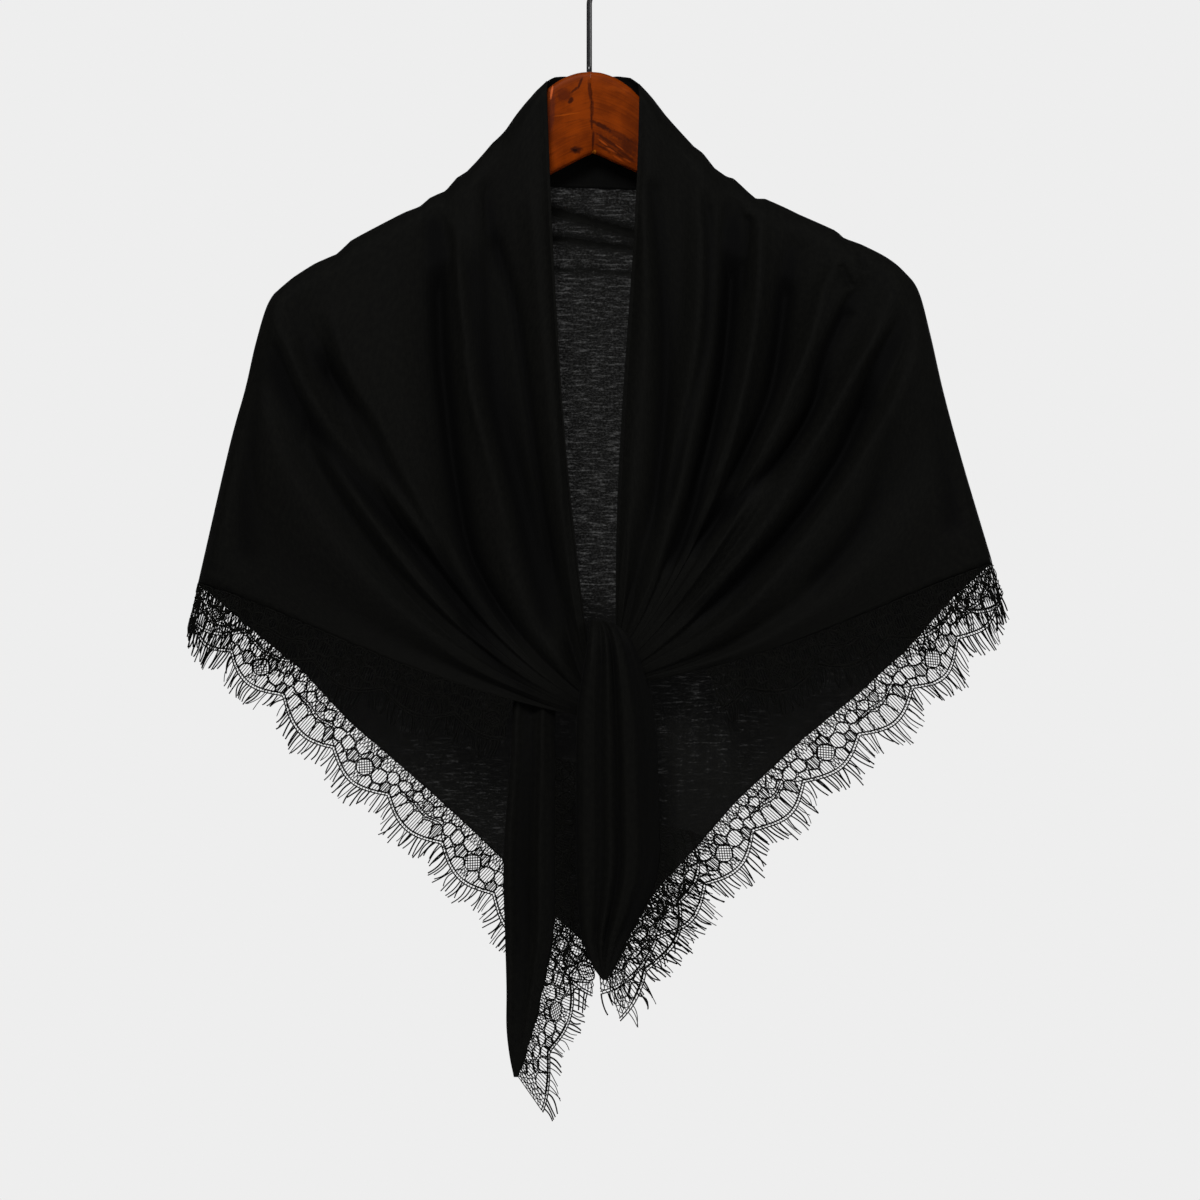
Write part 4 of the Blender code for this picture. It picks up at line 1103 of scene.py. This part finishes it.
def hanging(edge, table, phase, gap, lean):
    """Returns the length of a hem and a function that takes chart places to points in space:
    the hem's point at u plus v along the way the lace hangs there, with a slow ripple in
    depth, and out along -y."""
    run = running_length(edge)
    length = run[-1]
    table = np.asarray(table, float)

    def place(flat, out=0.0):
        u = np.clip(flat[..., 0], 0.0, length)
        v = flat[..., 1]
        share = u / length
        hem = places(u, run, edge)
        x, z, part = np.moveaxis(places(share, table[:, 0], table[:, 1:]), -1, 0)
        across = unit(np.stack([x, z], axis=-1))
        way = unit(np.stack([across[..., 0], np.full(u.shape, lean), across[..., 1]], axis=-1))
        low = np.clip(v / scallop_depth(u, phase), 0.0, 1.1)
        ripple = RIPPLE * low * np.sin(TURN * u / RIPPLE_LENGTH + 2.0 * phase)
        points = hem + way * (gap + part * v)[..., None]
        points[..., 1] += ripple - out
        return points

    return length, place


def lash_paths(length, phase, seed):
    """Lashes below the border: roots about 2 mm apart, in tufts of two to four whose tips
    lean together, each a soft arc of 10 to 15 mm, and every fourth a thin one."""
    random = np.random.default_rng(seed)
    count = int(length / LASH_PITCH)
    root = (np.arange(count) + random.uniform(-0.38, 0.38, count)) * LASH_PITCH + 0.6
    tuft = np.cumsum(random.random(count) < NEW_TUFT)
    centre = np.array([root[tuft == k].mean() for k in tuft])
    lean = random.normal(0.0, 1.2, tuft.max() + 1)[tuft] + random.normal(0.0, 0.7, count)
    size = LASH_LENGTH * random.uniform(0.7, 1.04, count)
    size = size * random.uniform(0.84, 1.05, tuft.max() + 1)[tuft]
    w = np.linspace(0.0, 1.0, 7)[None]
    sideways = (centre - root)[:, None] * TUFT_PULL * w**1.5 + lean[:, None] * w**2
    sideways = sideways + random.normal(0.0, 0.6, count)[:, None] * np.sin(np.pi * w)
    u = root[:, None] + sideways
    v = scallop_depth(root, phase)[:, None] + size[:, None] * w
    out = random.normal(0.0, 1.0, count)[:, None] * w**2
    full = np.where(random.random(count) < THIN_LASHES, 0.6, random.uniform(0.85, 1.15, count))
    thick = LASH * full[:, None] * (1.0 - 0.2 * w)
    return np.stack([u, v], axis=-1), out, thick


def make_lace(name, edge, table, phase, seed, gap, lean, first):
    """One stretch of lace and its lashes, as two pieces."""
    length, place = hanging(edge, table, phase, gap - KNIT_THICK, lean)
    bundles = []
    for paths, radius, closed in stretch_threads(length, phase, first):
        out = GIMP_STANDS_OUT if radius == GIMP else 0.0
        bundles.append(tubes(place(paths, out), radius, 3, closed))
    points, faces = joined(bundles)
    lace = add_mesh("lace_net_" + name, points, faces.tolist(), lace_thread)
    flat, out, thick = lash_paths(length, phase, seed)
    points, faces = tubes(place(flat, out), thick, 3)
    return lace, add_mesh("lashes_" + name, points, faces.tolist(), lash_thread)


# %% Directions in which each stretch hangs: share of the hem, x, z, share of the full depth
LACE_BACK_LEFT = (
    (0.0, -0.23, -0.97, 1.03), (0.14, -0.63, -0.77, 1.04), (0.5, -0.68, -0.73, 1.04),
    (0.88, -0.67, -0.74, 1.04), (1.0, -0.1, -1.0, 1.0),
)
LACE_BACK_RIGHT = (
    (0.0, 0.1, -1.0, 1.0), (0.1, 0.78, -0.63, 1.08), (0.4, 0.74, -0.67, 1.1),
    (0.8, 0.67, -0.74, 1.1), (0.93, 0.5, -0.86, 1.06), (1.0, 0.32, -0.95, 1.04),
)
LACE_WING_LEFT = (
    (0.0, -0.23, -0.97, 1.0), (0.3, -0.38, -0.92, 1.0), (1.0, -0.25, -0.97, 1.0),
)
LACE_WING_RIGHT = (
    (0.0, 0.24, -0.97, 1.0), (0.3, 0.36, -0.93, 1.0), (1.0, 0.3, -0.95, 1.0),
)
LACE_TAIL_LEFT = (
    (0.0, 0.97, -0.25, 0.85), (0.45, 0.96, -0.28, 0.95), (0.72, 0.92, -0.4, 0.8),
    (0.86, 0.8, -0.6, 0.75), (1.0, 0.56, -0.83, 1.0),
)
LACE_TAIL_RIGHT = (
    (0.0, 0.97, -0.24, 0.9), (0.35, 0.87, -0.5, 1.0), (0.8, 0.82, -0.57, 1.0),
    (1.0, 0.3, -0.95, 1.0),
)

# %% Build the lace
# The lace starts below the tie on both tails: z where the first thread hangs
LACE_TOP_LEFT = -556.0
LACE_TOP_RIGHT = -600.0
middle = len(hem_back) // 2
edge_left = edge_left[edge_left[:, 2] < LACE_TOP_LEFT]
edge_right = edge_right[edge_right[:, 2] < LACE_TOP_RIGHT]
# Hem, directions, phase of the scallops, seed of the lashes, gap to the hem, lean, first scallop
STRETCHES = {
    "back_left": (hem_back[: middle + 1], LACE_BACK_LEFT, 0.3, 11, 0.5, 0.0, 0),
    "back_right": (hem_back[middle:], LACE_BACK_RIGHT, 0.9, 12, 0.5, 0.0, 1),
    "wing_left": (hem_left[4:-12], LACE_WING_LEFT, 0.2, 13, 0.8, 0.0, 1),
    "wing_right": (hem_right[4:-16], LACE_WING_RIGHT, 0.7, 14, 0.8, 0.0, 0),
    "tail_left": (edge_left, LACE_TAIL_LEFT, 0.5, 15, 0.8, 0.16, 0),
    "tail_right": (edge_right, LACE_TAIL_RIGHT, 0.4, 16, 0.8, 0.12, 1),
}
laces = {name: make_lace(name, *row) for name, row in STRETCHES.items()}
for name, (lace, lash) in laces.items():
    print(name, "quads in lace and lashes:", len(lace.data.polygons), len(lash.data.polygons))

# %% [markdown]
# ## The hanger
# Two shaped arms of stained softwood or beech meet in an upright joint, with a bent wire hook
# between them. The arm is a rounded section carried along its run: a superellipse, which is
# an oblong with soft corners, so that the edges catch the light as sanded wood does.

# %% Sections of an arm: distance from the joint, z top, z bottom, half thickness
ARM = (
    (0.02, -92.0, -146.6, 7.0), (8.0, -92.9, -150.6, 7.0), (16.0, -95.6, -154.8, 7.0),
    (23.0, -99.6, -158.4, 7.0), (31.0, -106.2, -162.4, 7.0), (45.0, -122.4, -169.4, 7.0),
    (62.0, -145.2, -177.8, 7.0), (82.0, -165.4, -188.4, 7.0), (106.0, -184.0, -201.6, 7.0),
    (132.0, -199.0, -215.6, 7.2), (163.0, -214.6, -231.8, 7.6), (186.0, -228.0, -243.6, 8.0),
    (199.0, -238.4, -250.4, 7.4), (204.0, -243.6, -252.2, 5.6), (206.5, -246.4, -251.4, 3.4),
)
# Radius and sides of the wire, inside of the hook's bend, where the bend starts and the shank ends
WIRE_RADIUS = 1.85
WIRE_SIDES = 20
HOOK_INSIDE = 19.5
HOOK_BEND_Z = -46.0
SHANK_END_Z = -91.6


# Points around a section and its power. Near the joint the lower edge of the left and the
# right arm moves by a share of the run.
ARM_SIDES = 112
SQUARENESS = 7.0
LOWER_EDGE = {-1: -0.04, 1: 0.125}


def arm_mesh(side):
    """Points, faces and flat places of an arm. A section is y = half thickness times cos a to
    the power 2/n and z likewise with sin a, with n 7 for flat faces and tight round edges.
    The joint leans a little to the right going down, by 3 mm in 100, and the right arm's
    lower edge rises a little more than the left one's beside it, by an eighth of its run."""
    place = np.concatenate([np.linspace(0.0, 4.0, 60)[:-1], np.linspace(4.0, len(ARM) - 1, 120)])
    run, top, bottom, half = through(ARM, place).T
    bottom = bottom + LOWER_EDGE[side] * run * bell(run, 60.0)
    angle = TURN * np.arange(ARM_SIDES) / ARM_SIDES
    both = (np.cos(angle), np.sin(angle))
    c, s = (np.sign(part) * np.abs(part) ** (2.0 / SQUARENESS) for part in both)
    x = side * run
    y = arm_y(x)
    tall = 0.5 * (top - bottom)[:, None]
    ring_y = y[:, None] + half[:, None] * c
    ring_z = 0.5 * (top + bottom)[:, None] + tall * s
    lean = (0.9 + 0.03 * (-92.0 - ring_z)) * np.exp(-run / 14.0)[:, None]
    points = np.stack([x[:, None] + lean, ring_y, ring_z], axis=-1)
    n, m = ring_y.shape
    index = np.arange(n * m).reshape(n, m)
    around = np.roll(index, -1, axis=1)
    quads = np.stack([index[:-1], around[:-1], around[1:], index[1:]], axis=-1).reshape(-1, 4)
    if side > 0:
        quads = quads[:, ::-1]
    caps = [index[0][::side].tolist(), index[-1][::-side].tolist()]
    flat = np.stack([run[:, None] + 0 * ring_y, tall * s], axis=-1)
    return points.reshape(-1, 3), quads.tolist() + caps, flat.reshape(-1, 2)


# %% Stained wood
# The real arms are beech or pine, sanded, stained a warm orange-brown and given one satin coat
# of varnish. The eye sees fine streaks along each arm, a knot, a curl of grain and a darker
# slanting band, and a weak broad shine. An orange rim and a purplish band near the left edge are
# a painted highlight and a painted reflection.
# Marks: x, z, half length, half width in mm, turn in degrees, strength, colour
WOOD_MARKS_AND_HIGHLIGHTS = (
    (-8.9, -145.4, 4.6, 2.7, 6, 0.85, "#2a0d05"), (-9.6, -145.6, 2.2, 1.2, 6, 0.8, "#120503"),
    (-6.2, -100.2, 5.2, 1.0, 68, 0.8, "#2c0d04"), (-9.6, -104.4, 4.6, 0.9, 40, 0.75, "#2c0d04"),
    (-12.4, -111.8, 3.0, 1.7, 62, 0.85, "#240a04"), (-17.0, -108.0, 5.6, 5.0, -20, 0.6, "#421507"),
    # Painted highlight and reflection: a purplish band and a bright orange rim near the left edge.
    (-25.6, -120.0, 17.0, 2.6, 86, 0.6, "#421a12"), (-25.4, -106.4, 5.0, 0.8, 80, 0.75, "#c8602e"),
    (-16.0, -121.5, 9.0, 0.5, 9, 0.3, "#b8560e"), (-12.0, -126.0, 10.0, 0.5, 12, 0.35, "#4a1a04"),
    (-15.0, -137.0, 9.0, 0.6, 14, 0.25, "#4a1a04"), (18.0, -143.5, 17.0, 7.0, -33, 0.5, "#3a1404"),
    (8.0, -129.0, 9.0, 1.7, -27, 0.85, "#2a0d04"), (20.0, -135.6, 11.0, 2.6, -27, 0.65, "#351105"),
    (28.0, -143.0, 7.0, 5.4, -40, 0.55, "#351105"), (13.0, -139.5, 11.0, 1.2, -34, 0.7, "#2a0d04"),
    (17.0, -146.5, 12.0, 1.1, -34, 0.6, "#2a0d04"), (9.0, -144.0, 7.0, 0.8, -30, 0.6, "#2a0d04"),
    (25.0, -149.5, 8.0, 1.2, -36, 0.6, "#2a0d04"), (9.4, -140.4, 4.6, 0.7, -38, 0.45, "#a84a14"),
    (15.0, -145.6, 4.4, 0.7, -30, 0.4, "#a84a14"), (20.4, -143.6, 3.8, 0.6, -35, 0.35, "#a04410"),
    (19.4, -151.0, 4.4, 0.7, -32, 0.4, "#a04410"), (25.6, -152.4, 3.8, 0.6, -31, 0.35, "#a04410"),
    (0.6, -106.0, 9.0, 1.5, 96, 0.75, "#2c0d04"), (1.9, -117.0, 8.0, 1.5, 88, 0.7, "#2c0d04"),
    (1.6, -127.0, 6.0, 0.9, 94, 0.75, "#2c0d04"), (2.6, -139.0, 8.0, 0.9, 86, 0.8, "#2c0d04"),
    (3.0, -147.5, 2.6, 1.4, 60, 0.6, "#c8701c"), (18.0, -104.0, 10.0, 2.0, -10, 0.3, "#8a3a06"),
)


def make_wood():
    """Stained and varnished wood: streaks along the arm, warm tones, marks, a painted highlight near
    the left edge, a satin coat.
    """
    made, tree, shader = new_material("stained_varnished_wood")
    flat = node(tree, "ShaderNodeUVMap", {"uv_map": "cloth_mm"})
    # Streaks are about 50 mm long and 2 mm wide.
    along = node(tree, "ShaderNodeMapping", Vector=flat, Scale=(0.02, 0.55, 1.0))
    streak = node(tree, "ShaderNodeTexNoise", FLAT, Vector=along, Scale=1.0, Detail=6.0, Roughness=0.62)
    feed(tree, streak, Distortion=0.6)
    place = node(tree, "ShaderNodeTexCoord").outputs["Object"]
    mottle = node(tree, "ShaderNodeTexNoise", Vector=place, Scale=70.0, Detail=3.0)
    grain = node(tree, "ShaderNodeMath", MULTIPLY_ADD, i0=streak, i1=0.42, i2=0.0)
    grain = node(tree, "ShaderNodeMath", MULTIPLY_ADD, i0=mottle, i1=0.58, i2=grain)
    tone = node(tree, "ShaderNodeValToRGB", None, ((0.4, "#5c2101"), (0.6, "#7a3002")), Fac=grain)
    colour = tone.outputs[0]
    rough = node(tree, "ShaderNodeTexNoise", Vector=place, Scale=520.0, Detail=3.0)
    # Each mark, the painted highlight too, is an oval with a ragged, soft edge, laid over the colour so
    # far.
    for x, z, length, width, turn, strength, shade in WOOD_MARKS_AND_HIGHLIGHTS:
        moved = node(tree, "ShaderNodeMapping", {"vector_type": "TEXTURE"}, Vector=place)
        feed(tree, moved, Location=(x * MM, 0.0, z * MM), Rotation=(0.0, -np.radians(turn), 0.0))
        feed(tree, moved, Scale=(length * MM, 1.0, width * MM))
        far = node(tree, "ShaderNodeVectorMath", {"operation": "LENGTH"}, i0=moved)
        ragged = node(tree, "ShaderNodeMath", MULTIPLY_ADD, i0=rough, i1=0.9, i2=far.outputs["Value"])
        dark = node(tree, "ShaderNodeMapRange", {"interpolation_type": "SMOOTHSTEP"}, Value=ragged)
        feed(tree, dark, i1=1.0, i2=1.6, i3=strength, i4=0.0)
        mixed = node(tree, "ShaderNodeMix", COLOURS, i0=dark, i6=colour, i7=linear(shade))
        colour = mixed.outputs[2]
    bump = node(tree, "ShaderNodeBump", Height=streak, Strength=0.15, Distance=0.0003)
    feed(tree, shader, Base_Color=colour, Normal=bump, Roughness=0.5, Specular_IOR_Level=0.03)
    feed(tree, shader, Coat_Weight=0.006, Coat_Roughness=0.22)
    return made


def make_wire():
    """The hook is drawn steel wire, dipped in black lacquer and baked. It looks black with
    narrow bright lines of light, a little uneven where the lacquer is thin."""
    made, tree, shader = new_material("lacquered_steel_wire")
    place = node(tree, "ShaderNodeTexCoord").outputs["Object"]
    pits = node(tree, "ShaderNodeTexNoise", Vector=place, Scale=900.0, Detail=2.0)
    tone = node(tree, "ShaderNodeValToRGB", None, ((0.0, "#0a0a0c"), (1.0, "#1a1a1d")), Fac=pits)
    feed(tree, shader, Base_Color=tone, Roughness=0.3, Coat_Weight=0.5, Coat_Roughness=0.2)
    return made


wood = make_wood()
wire = make_wire()
print("materials:", wood.name, wire.name)


# %% Build the hanger
def add_arm(name, side):
    """One arm with its flat joint face and its flat end."""
    points, faces, flat = arm_mesh(side)
    return add_mesh(name, points, faces, wood, flat, 2)


def hook_path():
    """Middle line of the wire: the shank, a cubic swing to the right, then a circle of the
    inside radius plus the wire's own, over the top to the left."""
    radius = HOOK_INSIDE + WIRE_RADIUS
    t = np.linspace(0.0, 1.0, 33)[:, None]
    start, end = np.array([0.0, HOOK_BEND_Z]), np.array([radius, -HOOK_INSIDE])
    up, down = start + np.array([0.0, 14.0]), end - np.array([0.0, 13.0])
    swing = (1 - t) ** 3 * start + 3 * (1 - t) ** 2 * t * up
    swing = swing + 3 * (1 - t) * t**2 * down + t**3 * end
    angle = np.radians(np.linspace(0.0, 205.0, 80))[1:]
    bend = np.stack([radius * np.cos(angle), -HOOK_INSIDE + radius * np.sin(angle)], axis=1)
    shank = np.stack([np.zeros(12), np.linspace(SHANK_END_Z, HOOK_BEND_Z - 3.0, 12)], axis=1)
    flat = np.concatenate([shank, swing, bend])
    return np.stack([flat[:, 0], np.zeros(len(flat)), flat[:, 1]], axis=1)


def add_hook(name):
    """The wire as a tube. Its free end is round: the last rings shrink as a half ball does."""
    path = hook_path()
    first, last = unit(path[0] - path[1]), unit(path[-1] - path[-2])
    angle = np.linspace(0.0, 0.5 * np.pi, 6)[1:]
    tip = path[-1] + WIRE_RADIUS * np.sin(angle)[:, None] * last
    path = np.concatenate([path, tip])
    radius = np.full(len(path), WIRE_RADIUS)
    radius[-len(angle) :] = WIRE_RADIUS * np.cos(angle) + 0.01
    points, faces = tubes(path[None], radius[None], WIRE_SIDES)
    ring = np.arange(WIRE_SIDES)
    caps = [ring[::-1].tolist(), (len(points) - WIRE_SIDES + ring).tolist()]
    return add_mesh(name, points, faces.tolist() + caps, wire, flat_faces=2)


arm_left = add_arm("hanger_wood_left", -1)
arm_right = add_arm("hanger_wood_right", 1)
hook = add_hook("hanger_wire_hook")
print("hanger pieces:", arm_left.name, arm_right.name, hook.name)

# %% [markdown]
# ## Ride on the body and stand in for the solids
# Every piece rides on the one body of the part and stands for its solid, which is hidden.

# %% Ride and replace
PIECES = {
    wing_left: ("wing_left", "black_knit"),
    wing_right: ("wing_right", "black_knit"),
    back: ("back_panel", "black_knit"),
    band: ("neck_turn_in", "black_knit"),
    tail_right: ("tail_right", "black_knit"),
    tail_left: ("tail_left", "black_knit"),
    arm_left: ("hanger_arm_left", "stained_wood"),
    arm_right: ("hanger_arm_right", "stained_wood"),
    hook: ("hanger_hook", "black_wire"),
}
for name, (lace, lash) in laces.items():
    PIECES[lace] = ("lace_" + name, "black_lace")
    PIECES[lash] = ("fringe_" + name, "black_lash_yarn")
for piece, (solid, finish) in PIECES.items():
    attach(piece, "root")
    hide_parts(solid)

print("pieces:", len(PIECES))

# %% [markdown]
# ## Floor, light and camera
# A pale floor and an even pale surround stand in for a product studio. One large soft light
# from above on the left draws the folds, a weak one from the right fills them, and one from
# below behind shines through the single cloth. The camera looks straight on from 3 m with a
# long lens, so that the scarf keeps its proportions.


# %% Stage
FLOOR_RADIUS = 2600.0
FLOOR_Z = -1300.0


def make_paper():
    """The floor is a roll of uncoated white paper: even, matt, with a faint cloudy tone."""
    made, tree, shader = new_material("matt_paper")
    place = node(tree, "ShaderNodeTexCoord").outputs["Object"]
    grain = node(tree, "ShaderNodeTexNoise", Vector=place, Scale=40.0)
    tone = node(tree, "ShaderNodeValToRGB", None, ((0.0, "#e6e6e6"), (1.0, "#eaeaea")), Fac=grain)
    # A paper roll in a studio has lamps of its own; a share of its light stands in for them.
    seen = node(tree, "ShaderNodeLightPath").outputs["Is Camera Ray"]
    glow = node(tree, "ShaderNodeMath", {"operation": "MULTIPLY"}, i0=seen, i1=0.35)
    feed(tree, shader, Base_Color=tone, Roughness=0.9, Emission_Color=linear("#e8e8e8"))
    feed(tree, shader, Emission_Strength=glow)
    return made


def add_floor():
    """A round pale floor, 0.5 m below the lowest lash: one ring of points and a middle."""
    index = np.arange(96)
    angle = TURN * index / 96
    rim = [FLOOR_RADIUS * np.cos(angle), FLOOR_RADIUS * np.sin(angle), np.full(96, FLOOR_Z)]
    points = np.concatenate([np.stack(rim, axis=1), [[0.0, 0.0, FLOOR_Z]]])
    faces = np.stack([np.full(96, 96), index, np.roll(index, -1)], axis=1)
    return add_mesh("floor", points, faces.tolist(), make_paper())


add_floor()


def add_light(name, power, size, place, aim):
    """A square soft light in metres that looks from its place to its aim."""
    data = bpy.data.lights.new(name, "AREA")
    data.energy = power
    data.shape = "SQUARE"
    data.size = size
    obj = bpy.data.objects.new(name, data)
    obj.location = place
    obj.rotation_euler = (Vector(aim) - Vector(place)).to_track_quat("-Z", "Y").to_euler()
    bpy.context.scene.collection.objects.link(obj)


add_light("key", 65.0, 0.9, (-0.5, -2.2, 1.5), (0.0, 0.0, -0.35))
add_light("fill", 14.0, 1.0, (1.9, -1.6, 0.2), (0.0, 0.0, -0.4))
add_light("behind", 135.0, 1.0, (1.0, 2.4, -0.9), (0.0, 0.0, -0.4))

world = bpy.data.worlds.new("studio")
world.use_nodes = True
tree = world.node_tree
# The surround is pale where it is seen, and lights the scarf only weakly, as a far wall does.
seen = node(tree, "ShaderNodeBackground", Color=linear("#eeeeee"), Strength=1.0)
lit = node(tree, "ShaderNodeBackground", Color=linear("#eeeeee"), Strength=0.16)
ray = node(tree, "ShaderNodeLightPath").outputs["Is Camera Ray"]
mix = node(tree, "ShaderNodeMixShader", i0=ray, i1=lit, i2=seen)
tree.links.new(mix.outputs[0], tree.nodes["World Output"].inputs["Surface"])
bpy.context.scene.world = world
bpy.context.scene.view_settings.view_transform = "Standard"

# %% Camera
# Width of the view at the scarf in metres, distance from the cloth, middle of the view
FRAME_WIDTH = 0.8109
DISTANCE = 3.0
SENSOR = 36.0
CLOTH_Y = -0.015
VIEW_X = 0.0073
VIEW_Z = -0.45036
lens = bpy.data.cameras.new("camera")
lens.sensor_width = SENSOR
lens.lens = SENSOR * DISTANCE / FRAME_WIDTH
camera = bpy.data.objects.new("camera", lens)
camera.location = (VIEW_X, CLOTH_Y - DISTANCE, VIEW_Z)
camera.rotation_euler = (np.pi / 2.0, 0.0, 0.0)
bpy.context.scene.collection.objects.link(camera)
bpy.context.scene.camera = camera
print("lens in mm:", round(lens.lens, 1))
